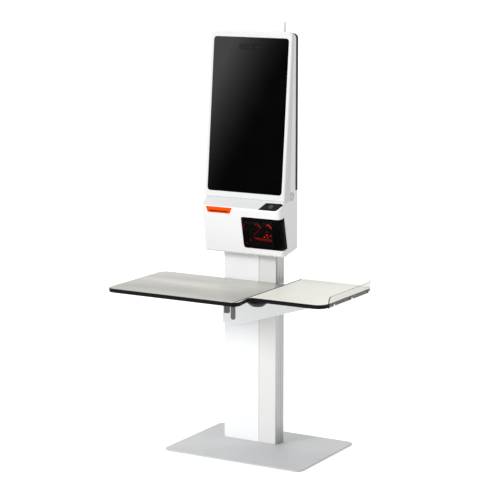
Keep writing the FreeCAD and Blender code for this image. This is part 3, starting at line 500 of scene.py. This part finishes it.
def make_chamber():
    """Faintly lit back of the scanner's chamber, with a moulded ripple."""
    f = Finish("scan_chamber", (0.055, 0.046, 0.046), 0.6)
    f.tone((0.035, 0.024, 0.024), 22, 0.8).vary(0.06, 60)
    f.relief(f.noise(260, 2.0), 0.0002, 0.5)
    f.join(f.colour, f.shader.inputs["Emission Color"])
    f.shader.inputs["Emission Strength"].default_value = 0.75
    return f.done()


def make_led():
    f = Finish("led", (0.85, 0.83, 0.62), 0.3)
    f.tone((0.95, 0.80, 0.25), 500, 0.7).vary(0.05, 300)
    return f.done()


def make_printed(name, colour):
    """Thin printed mark: slightly uneven ink."""
    f = Finish(name, colour, 0.5)
    f.tone(tuple(c * 0.6 for c in colour), 300, 0.6).vary(0.08, 200)
    return f.done()


FINISH = {
    "white_paint": powder_coat("white_paint", (0.865, 0.872, 0.88), (0.835, 0.843, 0.852)),
    "grey_paint": powder_coat("grey_paint", (0.725, 0.725, 0.715), (0.69, 0.69, 0.68)),
    "base_paint": make_base_paint(),
    "white_shell": moulding("white_shell", (0.845, 0.85, 0.852), (0.815, 0.822, 0.825), 0.36),
    # painted shade: a darker copy of the white shell for the front bezel
    "bezel_painted_shade": moulding("bezel_painted_shade", (0.71, 0.715, 0.717), (0.685, 0.69, 0.692), 0.42,
                            specular=0.3),
    # painted light: a lighter copy of the white shell for the lamp's base
    "lamp_painted_light": moulding("lamp_painted_light", (0.90, 0.90, 0.895), (0.87, 0.872, 0.87), 0.40),
    "lock_plate": powder_coat("lock_plate", (0.56, 0.56, 0.565), (0.52, 0.52, 0.525), 0.45),
    "lock_steel": brushed("lock_steel", (0.52, 0.52, 0.525), (0.44, 0.44, 0.445), 0.40,
                          (300, 900, 900)),
    "backing": moulding("backing", (0.87, 0.865, 0.85), (0.83, 0.825, 0.81), 0.5, specular=0.3),
    # painted shade: a darker copy of the white shell for the door's sloping ledge
    "ledge_painted_shade": moulding("ledge_painted_shade", (0.63, 0.635, 0.635), (0.605, 0.61, 0.61), 0.46),
    "black_shell": moulding("black_shell", (0.010, 0.010, 0.011), (0.018, 0.018, 0.019), 0.58,
                            specular=0.2, grain=800, depth=0.00008),
    "black_plastic": moulding("black_plastic", (0.011, 0.011, 0.012), (0.018, 0.018, 0.019), 0.45,
                              specular=0.2),
    "dark_grey_plastic": moulding("dark_grey_plastic", (0.085, 0.085, 0.087),
                                  (0.06, 0.06, 0.062), 0.45, grain=700, depth=0.0001),
    "orange_plastic": moulding("orange_plastic", (0.93, 0.086, 0.0), (0.87, 0.074, 0.0), 0.5,
                               specular=0.05),
    "gloss_black": moulding("gloss_black", (0.009, 0.009, 0.010), (0.010, 0.010, 0.011), 0.32,
                            specular=0.10),
    "edge_band": moulding("edge_band", (0.005, 0.005, 0.006), (0.008, 0.008, 0.009), 0.38,
                          specular=0.08, grain=500),
    "screen_glass": glassy("screen_glass", (0.0008, 0.0008, 0.0010), 0.02, wiping=0.02).done(),
    "scanner_glass": make_scanner_glass(),
    "clear_acrylic": make_acrylic(),
    "diffuser": make_diffuser(),
    "board": make_board(),
    "satin_steel": make_worktop_steel(),
    "cream_laminate": make_laminate(),
    "side_aluminium": brushed("side_aluminium", (0.52, 0.525, 0.525), (0.45, 0.455, 0.455), 0.42,
                              (900, 900, 7)),
    "zinc_steel": brushed("zinc_steel", (0.58, 0.59, 0.60), (0.44, 0.45, 0.47), 0.38,
                          (60, 60, 60)),
    "screw_steel": brushed("screw_steel", (0.86, 0.86, 0.86), (0.72, 0.72, 0.73), 0.22,
                           (900, 900, 900)),
    "rubber": make_rubber(),
    "circuit_board": make_circuit_board(),
    "paper": make_paper(),
    "display": glassy("display", (0.012, 0.012, 0.014), 0.25).done(),
    "mirror": make_mirror(),
    "lens": glassy("lens", (0.010, 0.010, 0.020), 0.04).done(),
}
SCAN_LIGHT = make_glow("scan_light", 9.0)
SCAN_SPOT = make_glow("scan_spot", 30.0)
CHAMBER = make_chamber()
LED = make_led()
# painted shade: darkened orange for the inside of the paper slot and its tear bar
THROAT_PAINTED_SHADE = moulding("throat", (0.32, 0.022, 0.004), (0.25, 0.018, 0.004), 0.5)
PALE_PRINT = make_printed("pale_print", (0.20, 0.20, 0.20))


# ---- piece building ----------------------------------------------------------------------------
def dress_cad():
    """Give every CAD node its finish through its object's own material slots."""
    for name, node in NODES.items():
        for entry in node.material_slots:
            entry.link = "OBJECT"
            entry.material = FINISH[SLOT_OF[name]]


def merged(node):
    """A CAD node's mesh with its triangles joined back into flat faces."""
    bm = bmesh.new()
    bm.from_mesh(NODES[node].data)
    bmesh.ops.remove_doubles(bm, verts=bm.verts, dist=2e-6)
    bmesh.ops.dissolve_limit(bm, angle_limit=math.radians(0.5), verts=bm.verts, edges=bm.edges)
    return bm


def piece(name, bm, body, slot=None, material=None, bevel=0.0, segments=2, replaces=(), paint=()):
    """Turn a bmesh into a finished object that rides on a body."""
    bmesh.ops.recalc_face_normals(bm, faces=bm.faces)
    mesh = bpy.data.meshes.new(name)
    bm.to_mesh(mesh)
    bm.free()
    made = bpy.data.objects.new(name, mesh)
    bpy.context.scene.collection.objects.link(made)
    if bevel:
        rounding = made.modifiers.new("rounding", "BEVEL")
        rounding.width = bevel
        rounding.segments = segments
        rounding.limit_method = "ANGLE"
        rounding.angle_limit = SMOOTH_ANGLE
        rounding.use_clamp_overlap = True
        graph = bpy.context.evaluated_depsgraph_get()
        mesh = bpy.data.meshes.new_from_object(made.evaluated_get(graph))
        made.modifiers.clear()
        made.data = mesh
    mesh.shade_smooth()
    mesh.set_sharp_from_angle(angle=SMOOTH_ANGLE)
    weigh = made.modifiers.new("normals", "WEIGHTED_NORMAL")
    weigh.keep_sharp = True
    mesh.materials.clear()
    mesh.materials.append(material or FINISH[slot])
    for index, (wanted, finish) in enumerate(paint, 1):
        mesh.materials.append(finish)
        for face in mesh.polygons:
            if wanted(face):
                face.material_index = index
    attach(made, body)
    if replaces:
        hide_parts(*replaces)
    return made


def refined(node, bevel, segments=2, paint=(), finish=None):
    """A CAD node again, with its sharp edges rounded, in the node's place."""
    return piece(node + "_finished", merged(node), NODES[node]["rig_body"], SLOT_OF[node],
                 FINISH[finish] if finish else None, bevel, segments, (node,), paint)


def islands(node):
    """Lowest and highest corner of each separate solid of a CAD node."""
    bm = merged(node)
    left = set(bm.verts)
    boxes = []
    while left:
        stack = [left.pop()]
        found = []
        while stack:
            vert = stack.pop()
            found.append(vert.co.copy())
            for edge in vert.link_edges:
                other = edge.other_vert(vert)
                if other in left:
                    left.remove(other)
                    stack.append(other)
        low = Vector([min(c[i] for c in found) for i in range(3)])
        high = Vector([max(c[i] for c in found) for i in range(3)])
        boxes.append((low, high))
    bm.free()
    return sorted(boxes, key=lambda b: tuple(b[0]))


def face_frame(node, toward):
    """Matrix whose X, Y and Z are right, up and outward on a CAD node's main face towards a
    direction, with its origin at that face's lower left."""
    faces = [p for p in NODES[node].data.polygons if p.normal.dot(toward) > 0.6]
    main = max(faces, key=lambda p: p.area)
    out = main.normal.copy()
    out.x = 0
    out.normalize()
    up = out.cross(RIGHT)
    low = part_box(node)[0]
    y = main.center.y - (low.z - main.center.z) * out.z / out.y
    origin = Vector((low.x, y, low.z))
    return Matrix([(RIGHT.x, up.x, out.x, origin.x), (RIGHT.y, up.y, out.y, origin.y),
                   (RIGHT.z, up.z, out.z, origin.z), (0, 0, 0, 1)])


def upright_frame(origin, out):
    """The same kind of matrix for an upright face at a given point."""
    right = UP.cross(out)
    return Matrix([(right.x, UP.x, out.x, origin[0]), (right.y, UP.y, out.y, origin[1]),
                   (right.z, UP.z, out.z, origin[2]), (0, 0, 0, 1)])


def downward_frame(origin):
    return Matrix([(1, 0, 0, origin[0]), (0, -1, 0, origin[1]), (0, 0, -1, origin[2]),
                   (0, 0, 0, 1)])


def round_points(x, y, radius, count=32):
    step = 2 * math.pi / count
    return [(x + radius * math.cos(i * step), y + radius * math.sin(i * step))
            for i in range(count)]


def rounded_points(x0, y0, x1, y1, radius, count=7):
    points = []
    for cx, cy, start in ((x1 - radius, y0 + radius, -90), (x1 - radius, y1 - radius, 0),
                          (x0 + radius, y1 - radius, 90), (x0 + radius, y0 + radius, 180)):
        for i in range(count):
            a = math.radians(start + 90 * i / (count - 1))
            points.append((cx + radius * math.cos(a), cy + radius * math.sin(a)))
    return points


def extrude(bm, points, z0, z1, frame_matrix, hole=None):
    """Closed prism over an outline in a frame's own plane, with an optional hole of as many
    points."""
    def level(outline, z):
        return [bm.verts.new(frame_matrix @ Vector((x, y, z))) for x, y in outline]

    low, high = level(points, z0), level(points, z1)
    count = len(points)
    for i in range(count):
        j = (i + 1) % count
        bm.faces.new((low[i], low[j], high[j], high[i]))
    if hole is None:
        bm.faces.new(low[::-1])
        bm.faces.new(high)
        return
    hole_low, hole_high = level(hole, z0), level(hole, z1)
    for i in range(count):
        j = (i + 1) % count
        bm.faces.new((hole_low[j], hole_low[i], hole_high[i], hole_high[j]))
        bm.faces.new((low[j], low[i], hole_low[i], hole_low[j]))
        bm.faces.new((high[i], high[j], hole_high[j], hole_high[i]))


def screw_head(bm, frame_matrix, x, y, radius, height):
    """Domed head with a cross-shaped recess."""
    rings = [(radius, 0.0), (radius, height * 0.35), (radius * 0.86, height * 0.75),
             (radius * 0.60, height * 0.97), (radius * 0.44, height)]
    count = 24
    loops = []
    for r, z in rings:
        loops.append([bm.verts.new(frame_matrix @ Vector((px, py, z)))
                      for px, py in round_points(x, y, r, count)])
    for a, b in zip(loops, loops[1:]):
        for i in range(count):
            j = (i + 1) % count
            bm.faces.new((a[i], a[j], b[j], b[i]))
    bm.faces.new(loops[0][::-1])
    arm, half = radius * 0.40, radius * 0.12
    cross = []
    for i in range(count):
        a = 2 * math.pi * i / count
        c, s = math.cos(a), math.sin(a)
        reach = arm if min(abs(c), abs(s)) < 0.3 else half * 1.5
        cross.append((x + c * reach, y + s * reach))
    rim = [bm.verts.new(frame_matrix @ Vector((px, py, height))) for px, py in cross]
    pit = [bm.verts.new(frame_matrix @ Vector((x + (px - x) * 0.7, y + (py - y) * 0.7,
                                               height * 0.35))) for px, py in cross]
    for i in range(count):
        j = (i + 1) % count
        bm.faces.new((loops[-1][i], loops[-1][j], rim[j], rim[i]))
        bm.faces.new((rim[i], rim[j], pit[j], pit[i]))
    bm.faces.new(pit)


# ---- worktop -----------------------------------------------------------------------------------
def outer_loop(node):
    """Points of the largest closed outline along a node's top, in order."""
    bm = merged(node)
    top = max(v.co.z for v in bm.verts)
    edges = {}
    for edge in bm.edges:
        a, b = edge.verts
        on_top = abs(a.co.z - top) < 1e-5 and abs(b.co.z - top) < 1e-5
        sides = [abs(f.normal.z) < 0.5 for f in edge.link_faces]
        if on_top and any(sides):
            edges.setdefault(a, []).append(b)
            edges.setdefault(b, []).append(a)
    loops = []
    left = set(edges)
    while left:
        start = left.pop()
        loop, here, before = [start], start, None
        while True:
            following = [v for v in edges[here] if v is not before and (v in left)]
            if not following:
                break
            before, here = here, following[0]
            left.discard(here)
            loop.append(here)
        loops.append([v.co.to_2d() for v in loop])
    bm.free()
    best = max(loops, key=lambda l: max(p.x for p in l) - min(p.x for p in l))
    area = sum(a.x * b.y - b.x * a.y for a, b in zip(best, best[1:] + best[:1]))
    return best if area > 0 else best[::-1]


def make_edge_band():
    """Bullnosed band swept round the worktop, with a shallow bead line along its middle."""
    low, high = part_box("edge_band")
    path = outer_loop("edge_band")
    bottom, top = low.z, high.z
    mid = (bottom + top) / 2
    profile = []
    for inward, base, offset in ((2.5, top, -0.05), (1.9, top, 0.0), (1.0, top, -0.6),
                                 (0.35, top, -1.9), (0.05, top, -3.8), (0.0, mid, 1.3),
                                 (0.4, mid, 0.55), (0.4, mid, -0.55), (0.0, mid, -1.3),
                                 (0.05, bottom, 3.8), (0.35, bottom, 1.9), (1.0, bottom, 0.6),
                                 (1.9, bottom, 0.0), (2.5, bottom, 0.05)):
        profile.append((inward * MM, base + offset * MM))
    bm = bmesh.new()
    rows = []
    count = len(path)
    for i, point in enumerate(path):
        along = (path[(i + 1) % count] - path[i - 1]).normalized()
        inward = Vector((-along.y, along.x))
        rows.append([bm.verts.new((point.x + inward.x * d, point.y + inward.y * d, z))
                     for d, z in profile])
    for i in range(count):
        a, b = rows[i], rows[(i + 1) % count]
        for j in range(len(profile)):
            k = (j + 1) % len(profile)
            bm.faces.new((a[j], b[j], b[k], a[k]))
    piece("worktop_band", bm, "stand", "edge_band", replaces=("edge_band",))


def make_tray_seam():
    """Black strip along the joint between the steel plate and the laminate tray: a dark sheet that
    paints the shadow line at the step.
    """
    low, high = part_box("tray_laminate")
    place = Matrix.Translation((low.x - 0.4 * MM, 0, high.z))
    bm = bmesh.new()
    strip = rounded_points(-2.6 * MM, low.y + 1 * MM, 2.6 * MM, high.y - 1 * MM, 2.4 * MM)
    extrude(bm, strip, -0.2 * MM, 0.6 * MM, place)
    piece("tray_seam_shadow", bm, "stand", "edge_band", bevel=0.15 * MM)


def make_arm_screws():
    """Pan-head screws through the arms into the board, with washers."""
    bm = bmesh.new()
    for low, high in islands("table_arms"):
        x = (low.x + high.x) / 2
        for y in (low.y + 18 * MM, (low.y + high.y) / 2, high.y - 26 * MM):
            place = downward_frame((x, y, low.z))
            extrude(bm, round_points(0, 0, 6 * MM), 0, 0.8 * MM, place, round_points(0, 0, 3 * MM))
            screw_head(bm, place @ Matrix.Translation((0, 0, 0.8 * MM)), 0, 0, 4.4 * MM, 2.6 * MM)
    piece("arm_screws", bm, "stand", "screw_steel")


# ---- head --------------------------------------------------------------------------------------
def make_camera_bar():
    """Darker window of the camera bar in the black glass, and its three lens openings."""
    place = face_frame("screen_glass", -BACK)
    low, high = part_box("camera_module")
    glass_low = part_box("screen_glass")[0]
    lean = place.to_3x3().col[1]
    x0, x1 = low.x - glass_low.x, high.x - glass_low.x
    top = (high.z - glass_low.z) / lean.z
    y0, y1 = top - 26 * MM, top - 1 * MM
    bm = bmesh.new()
    extrude(bm, rounded_points(x0, y0, x1, y1, 12 * MM), -0.1 * MM, 0.12 * MM, place)
    piece("camera_window", bm, "stand", "screen_glass",
          glassy("camera_glass", (0.004, 0.004, 0.005), 0.05, 0.30).done(), bevel=0.05 * MM)
    rings, eyes = bmesh.new(), bmesh.new()
    middle, height = (x0 + x1) / 2, (y0 + y1) / 2
    for offset, radius in ((-20 * MM, 2.4 * MM), (1 * MM, 3.4 * MM), (31 * MM, 2.6 * MM)):
        x = middle + offset
        extrude(rings, round_points(x, height, radius), 0.10 * MM, 0.22 * MM, place,
                round_points(x, height, radius - 0.7 * MM))
        dome = [(radius - 0.7 * MM, 0.12 * MM), (radius * 0.5, 0.19 * MM),
                (radius * 0.2, 0.21 * MM)]
        loops = [[eyes.verts.new(place @ Vector((px, py, z)))
                  for px, py in round_points(x, height, r)] for r, z in dome]
        for a, b in zip(loops, loops[1:]):
            for i in range(len(a)):
                j = (i + 1) % len(a)
                eyes.faces.new((a[i], a[j], b[j], b[i]))
        eyes.faces.new(loops[-1])
        eyes.faces.new(loops[0][::-1])
    piece("camera_rings", rings, "stand", "dark_grey_plastic",
          make_printed("lens_ring", (0.014, 0.014, 0.014)))
    piece("camera_eyes", eyes, "stand", "lens")


def make_reader_mark():
    """Plain ring and dot on the contactless pad, showing where a card goes."""
    place = face_frame("contactless_pad", LEDGE_WAY)
    low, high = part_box("contactless_pad")
    lean = place.to_3x3().col[1]
    x, y = (high.x - low.x) * 0.52, (high.z - low.z) / lean.z * 0.55
    bm = bmesh.new()
    for outer, inner in ((8.2, 7.2), (5.4, 4.6)):
        extrude(bm, round_points(x, y, outer * MM, 48), 0, 0.12 * MM, place,
                round_points(x, y, inner * MM, 48))
    extrude(bm, round_points(x, y, 1.7 * MM), 0, 0.12 * MM, place)
    piece("reader_mark", bm, "service_door", None, PALE_PRINT)


def make_outlet():
    """Throat behind the paper slot, and the toothed bar that the paper is torn on, both in
    darkened orange as painted shade.
    """
    place = face_frame("printer_outlet", DOOR_WAY)
    low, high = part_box("printer_outlet")
    width = high.x - low.x
    slot_low, slot_high = 4.0 * MM, 9.5 * MM
    x0, x1 = 13 * MM, width - 18.5 * MM
    bm = bmesh.new()
    wall, gap = 1.6 * MM, 0.2 * MM
    outer = rounded_points(x0 - 2 * MM, slot_low - wall, x1 + 2 * MM, slot_high + wall, 1 * MM)
    inner = rounded_points(x0 + gap, slot_low + gap, x1 - gap, slot_high - gap, 0.6 * MM)
    extrude(bm, outer, -9 * MM, -3.2 * MM, place, inner)
    piece("outlet_throat", bm, "service_door", None, THROAT_PAINTED_SHADE)
    teeth = bmesh.new()
    count = 40
    step = (x1 - x0) / count
    outline = [(x0, slot_low + 0.3 * MM)]
    for i in range(count):
        outline.append((x0 + (i + 0.5) * step, slot_low + 2.0 * MM))
        outline.append((x0 + (i + 1) * step, slot_low + 1.2 * MM))
    outline.append((x1, slot_low + 0.3 * MM))
    extrude(teeth, outline, -2.6 * MM, -2.2 * MM, place)
    piece("outlet_tear_bar", teeth, "service_door", None, THROAT_PAINTED_SHADE)


# Light in the scanner, in millimetres on its window: across, up, and a width or a radius.
SCAN_LINES = (
    ((50.6, 98.6), (79, 83), 1.1),
    ((62, 100), (79, 87), 1.8),
    ((79, 83), (41, 47.5), 0.8),
    ((44, 40.5), (121, 37.5), 2.0),
    ((49, 37), (121, 33.5), 0.9),
    ((56, 33.5), (118, 30.5), 0.6),
)
SCAN_FLARE = ((112, 100), (125, 84), 2.6)
DEEP_SPOTS = ((106.4, 95.6, 2.2), (89.5, 47.1, 2.5), (101, 55.8, 2.4), (117.6, 54.7, 2.2),
              (105, 47.3, 2.1), (102.7, 69, 1.2), (27.5, 30, 1.5))
MASK_SPOTS = ((18, 102, 1.1), (7.6, 91.5, 1.5), (6.8, 74.8, 1.3), (12.5, 18.3, 1.3))


def light_bar(bm, start, end, wide, place):
    """Bar of light with pointed ends, at the depth of the lines."""
    start, end = Vector(start) * MM, Vector(end) * MM
    along = (end - start).normalized()
    side = Vector((-along.y, along.x)) * wide * MM / 2
    point = along * wide * MM * 0.3
    corners = [start - side, end - side, end + point, end + side, start + side, start - point]
    extrude(bm, [tuple(c) for c in corners], -7.5 * MM, -7.0 * MM, place)


def make_scanner():
    """Mask behind the smoked window, and the red lines and spots of light seen inside."""
    place = face_frame("scanner_window", DOOR_WAY)
    low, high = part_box("scanner_window")
    height = (high.z - low.z) / place.to_3x3().col[1].z
    mask = bmesh.new()
    opening = rounded_points(25 * MM, 9 * MM, 130 * MM, 110 * MM, 4 * MM)
    extrude(mask, rounded_points(1 * MM, 1 * MM, 152 * MM, height - 2 * MM, 6 * MM),
            -4.6 * MM, -3.4 * MM, place, opening)
    piece("scanner_mask", mask, "service_door", "black_plastic", bevel=0.4 * MM)

    lines, spots = bmesh.new(), bmesh.new()
    for start, end, wide in SCAN_LINES:
        light_bar(lines, start, end, wide, place)
    piece("scan_lines", lines, "service_door", None, SCAN_LIGHT)
    light_bar(spots, *SCAN_FLARE, place)
    for rows, depth, front in ((DEEP_SPOTS, 7.6, 7.0), (MASK_SPOTS, 3.6, 3.1)):
        for x, y, radius in rows:
            extrude(spots, round_points(x * MM, y * MM, radius * MM, 20), -depth * MM,
                    -front * MM, place)
    piece("scan_spots", spots, "service_door", None, SCAN_SPOT)
    back = bmesh.new()
    extrude(back, rounded_points(22 * MM, 7 * MM, 132 * MM, 112 * MM, 3 * MM), -8.6 * MM,
            -8.0 * MM, place)
    piece("scan_chamber", back, "service_door", None, CHAMBER)


def make_lamp_board():
    """LED board standing inside the lamp's diffuser."""
    low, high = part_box("lamp_diffuser")
    y = (low.y + high.y) / 2
    place = upright_frame((low.x, y, low.z), -BACK)
    width, height = high.x - low.x, high.z - low.z
    board, leds = bmesh.new(), bmesh.new()
    half = 1.8 * MM
    extrude(board, rounded_points(6 * MM, 1 * MM, width - 6 * MM, height - 8 * MM, 1.5 * MM),
            -0.8 * MM, 0.8 * MM, place)
    for i in range(4):
        for j in range(3):
            x, z = (12 + i * 14) * MM, (9 + j * 15) * MM
            for side in (-1, 1):
                z0, z1 = sorted((side * 0.8 * MM, side * 2.2 * MM))
                square = rounded_points(x - half, z - half, x + half, z + half, 0.4 * MM)
                extrude(leds, square, z0, z1, place)
    piece("lamp_board", board, "stand", "circuit_board", bevel=0.1 * MM)
    piece("lamp_leds", leds, "stand", None, LED, bevel=0.15 * MM)


def middle_and_radius(node):
    """Middle (y, z) and radius of a node that is round about an axis along X."""
    low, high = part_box(node)
    return ((low.y + high.y) / 2, (low.z + high.z) / 2), (high.y - low.y) / 2


def arc(middle, radius, angles):
    """Points (y, z) round a middle, at angles in degrees."""
    return [(middle[0] + radius * math.cos(math.radians(a)),
             middle[1] + radius * math.sin(math.radians(a))) for a in angles]


def packages(bm, rows, corner, level, place):
    """Rectangular packages on a board: middle, half sizes and height of each, in millimetres."""
    for x, y, half_x, half_y, tall in rows:
        outline = rounded_points((x - half_x) * MM, (y - half_y) * MM, (x + half_x) * MM,
                                 (y + half_y) * MM, corner * MM)
        extrude(bm, outline, level * MM, (level + tall) * MM, place)


def make_printer_detail():
    """Paper led from the roll over the platen, and the print head's board."""
    roll, roll_r = middle_and_radius("paper_roll")
    platen, platen_r = middle_and_radius("platen_roller")
    low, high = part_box("paper_roll")
    x0, x1 = low.x + 1 * MM, high.x - 1 * MM
    line = arc(roll, roll_r + 0.25 * MM, range(187, 141, -9))
    over = arc(platen, platen_r + 0.3 * MM, range(15, 76, 12))
    start, end = line[-1], over[0]
    for i in range(1, 9):
        t = i / 9
        sag = math.sin(math.pi * t) * 1.5 * MM
        line.append((start[0] + (end[0] - start[0]) * t + sag,
                     start[1] + (end[1] - start[1]) * t))
    line += over
    bm = bmesh.new()
    thick = 0.12 * MM
    rows = []
    for i, (y, z) in enumerate(line):
        a, b = line[max(0, i - 1)], line[min(len(line) - 1, i + 1)]
        along = Vector((b[0] - a[0], b[1] - a[1])).normalized()
        off = Vector((-along.y, along.x)) * thick / 2
        rows.append([bm.verts.new((x, y + s * off.x, z + s * off.y))
                     for x, s in ((x0, -1), (x1, -1), (x1, 1), (x0, 1))])
    for a, b in zip(rows, rows[1:]):
        for i in range(4):
            j = (i + 1) % 4
            bm.faces.new((a[i], a[j], b[j], b[i]))
    bm.faces.new(rows[0][::-1])
    bm.faces.new(rows[-1])
    piece("paper_web", bm, "stand", "paper")

    low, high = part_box("printer_frame")
    place = upright_frame((high.x, low.y + 24 * MM, low.z + 6 * MM), RIGHT)
    board, chips = bmesh.new(), bmesh.new()
    extrude(board, rounded_points(0, 0, 40 * MM, 46 * MM, 2 * MM), 1.5 * MM, 3.1 * MM, place)
    packages(chips, ((12, 30, 6, 6, 1.6), (28, 34, 4, 3, 1.4), (30, 12, 5, 2.5, 4),
                     (12, 9, 3, 1.5, 1.0), (20, 18, 1.5, 3, 1.0)), 0.4, 3.1, place)
    piece("printer_board", board, "stand", "circuit_board", bevel=0.1 * MM)
    piece("printer_chips", chips, "stand", "black_plastic", bevel=0.15 * MM)
    posts = bmesh.new()
    for x, y in ((4, 4), (36, 4), (4, 42), (36, 42)):
        extrude(posts, round_points(x * MM, y * MM, 2 * MM, 20), 0, 1.5 * MM, place)
        screw_head(posts, place @ Matrix.Translation((0, 0, 3.1 * MM)), x * MM, y * MM,
                   2.4 * MM, 1.3 * MM)
    piece("printer_posts", posts, "stand", "zinc_steel")


def make_switch_marks():
    """On and off strokes on the mains rocker: a bar and a ring."""
    place = face_frame_back("power_switch")
    bm = bmesh.new()
    extrude(bm, rounded_points(-0.5 * MM, 3.0 * MM, 0.5 * MM, 7.0 * MM, 0.3 * MM), -0.05 * MM,
            0.12 * MM, place[0])
    extrude(bm, round_points(0, 4.6 * MM, 2.0 * MM), -0.05 * MM, 0.12 * MM, place[1],
            round_points(0, 4.6 * MM, 1.3 * MM))
    piece("switch_marks", bm, "rocker", None, PALE_PRINT)


def face_frame_back(node):
    """Frames on the two back-facing faces of the rocker, each with its origin at the middle
    ridge and Y pointing away from it."""
    mesh = NODES[node].data
    faces = sorted((p for p in mesh.polygons if p.normal.y > 0.85), key=lambda p: p.center.z)
    low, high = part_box(node)
    x = (low.x + high.x) / 2
    frames = []
    for chosen, sign in ((faces[-1], 1), (faces[0], -1)):
        out = chosen.normal.copy()
        along = RIGHT.cross(out) * -sign
        if along.z * sign < 0:
            along = -along
        right = along.cross(out)
        corner = min((mesh.vertices[i].co for i in chosen.vertices), key=lambda c: sign * c.z)
        frames.append(Matrix([(right.x, along.x, out.x, x), (right.y, along.y, out.y, corner.y),
                              (right.z, along.z, out.z, corner.z), (0, 0, 0, 1)]))
    return frames


def make_rating_plate():
    """Blank foil plate beside the inlet."""
    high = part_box("column_rear_cover")[1]
    place = upright_frame((high.x - 58 * MM, high.y, 150 * MM), BACK)
    bm = bmesh.new()
    extrude(bm, rounded_points(-30 * MM, 0, 30 * MM, 34 * MM, 3 * MM), 0, 0.3 * MM, place)
    piece("blank_plate", bm, "stand", "side_aluminium", bevel=0.1 * MM)


def make_board_detail():
    """Chips and capacitors on the computer board."""
    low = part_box("main_board")[0]
    place = upright_frame((low.x, low.y + 5.4 * MM, low.z), -BACK)
    chips, cans = bmesh.new(), bmesh.new()
    packages(chips, ((120, 60, 9, 9, 1.6), (140, 30, 7, 5, 1.5), (30, 80, 12, 6, 1.8),
                     (30, 60, 12, 6, 1.8), (150, 90, 5, 8, 1.4), (100, 24, 4, 4, 1.2)), 0.5, 0,
             place)
    for x, y in ((128, 100), (138, 100), (148, 108), (118, 100), (20, 104), (30, 104)):
        extrude(cans, round_points(x * MM, y * MM, 3.2 * MM, 24), 0, 6.5 * MM, place)
    piece("computer_chips", chips, "stand", "black_plastic", bevel=0.2 * MM)
    piece("computer_cans", cans, "stand", "zinc_steel", bevel=0.4 * MM)


# Nodes shown with their edges rounded: the rounding in millimetres, the steps across it, and a
# finish where it isn't the slot's own.
HEAD_ROUNDED = (
    # the front bezel takes a darker copy of the white shell as painted shade
    ("front_bezel", 1.6, 4, "bezel_painted_shade"),
    ("rear_shell", 0.9, 3, None),
    ("back_cover", 0.7, 2, None),
    ("screen_glass", 0.5, 3, None),
    ("scanner_window", 0.3, 2, None),
    ("printer_outlet", 0.5, 2, None),
    ("contactless_pad", 0.4, 2, None),
    # the lamp base takes a lighter copy of the white shell as painted light
    ("lamp_base", 0.8, 3, "lamp_painted_light"),
    ("lamp_diffuser", 0.8, 3, None),
    ("lock_escutcheon", 0.4, 3, "lock_plate"),
    ("lock_barrel", 0.3, 2, "lock_steel"),
    ("cover_screws", 0.4, 3, None),
)
STAND_ROUNDED = (
    ("base_plate", 1.0, 3),
    ("column_front_cover", 0.8, 3),
    ("column_service_panel", 0.8, 3),
    ("column_side_right", 0.35, 2),
    ("column_side_left", 0.35, 2),
    ("column_rear_cover", 0.5, 2),
    ("bagging_plate", 0.5, 2),
    ("tray_laminate", 0.3, 2),
    ("table_bracket", 0.7, 3),
    ("table_arms", 1.0, 3),
    ("scale_housing", 3.0, 4),
    ("bag_hooks", 0.9, 3),
    ("guard_screen", 0.5, 2),
    ("guard_screws", 0.8, 3),
    ("power_inlet", 0.6, 2),
    ("switch_bezel", 0.6, 2),
    ("power_switch", 0.5, 2),
)


def make_head():
    ledge_out = face_frame("contactless_pad", LEDGE_WAY).to_3x3().col[2]
    nose_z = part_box("contactless_pad")[0].z - 6 * MM
    # the door's ledge faces get the darker copy of the white shell: painted shade
    ledge = (lambda face: face.normal.dot(ledge_out) > 0.985 and face.center.z > nose_z,
             FINISH["ledge_painted_shade"])
    refined("service_door", 0.9 * MM, 3, paint=(ledge,))
    for node, rounding, steps, finish in HEAD_ROUNDED:
        refined(node, rounding * MM, steps, finish=finish)
    make_camera_bar()
    make_reader_mark()
    make_outlet()
    make_scanner()
    make_lamp_board()
    make_printer_detail()
    make_board_detail()


def make_stand():
    for node, rounding, steps in STAND_ROUNDED:
        refined(node, rounding * MM, steps)
    underside = (lambda face: face.normal.z < -0.9, FINISH["backing"])
    refined("worktop_board", 0.2 * MM, 2, paint=(underside,))
    make_edge_band()
    # black strip that paints the shadow line along the steel plate's edge
    make_tray_seam()
    make_arm_screws()
    make_switch_marks()
    make_rating_plate()


def make_floor():
    f = Finish("floor", (0.50, 0.50, 0.50), 0.9, specular=0.1)
    f.tone((0.495, 0.495, 0.495), 0.5, 0.5)
    f.shader.inputs["Emission Color"].default_value = (1, 1, 1, 1)
    seen = f.node("ShaderNodeLightPath").outputs["Is Diffuse Ray"]
    f.join(f.ranged(seen, 0, 1, FLOOR_GLOW, FLOOR_BOUNCE), f.shader.inputs["Emission Strength"])
    bm = bmesh.new()
    corners = [bm.verts.new((x * FLOOR_HALF, y * FLOOR_HALF, 0))
               for x, y in ((-1, -1), (1, -1), (1, 1), (-1, 1))]
    bm.faces.new(corners)
    mesh = bpy.data.meshes.new("floor")
    bm.to_mesh(mesh)
    bm.free()
    mesh.materials.append(f.done())
    floor = bpy.data.objects.new("floor", mesh)
    bpy.context.scene.collection.objects.link(floor)


bpy.context.scene.view_settings.view_transform = "Standard"
make_camera()
make_sun()
make_world()
make_floor()
dress_cad()
make_stand()
make_head()
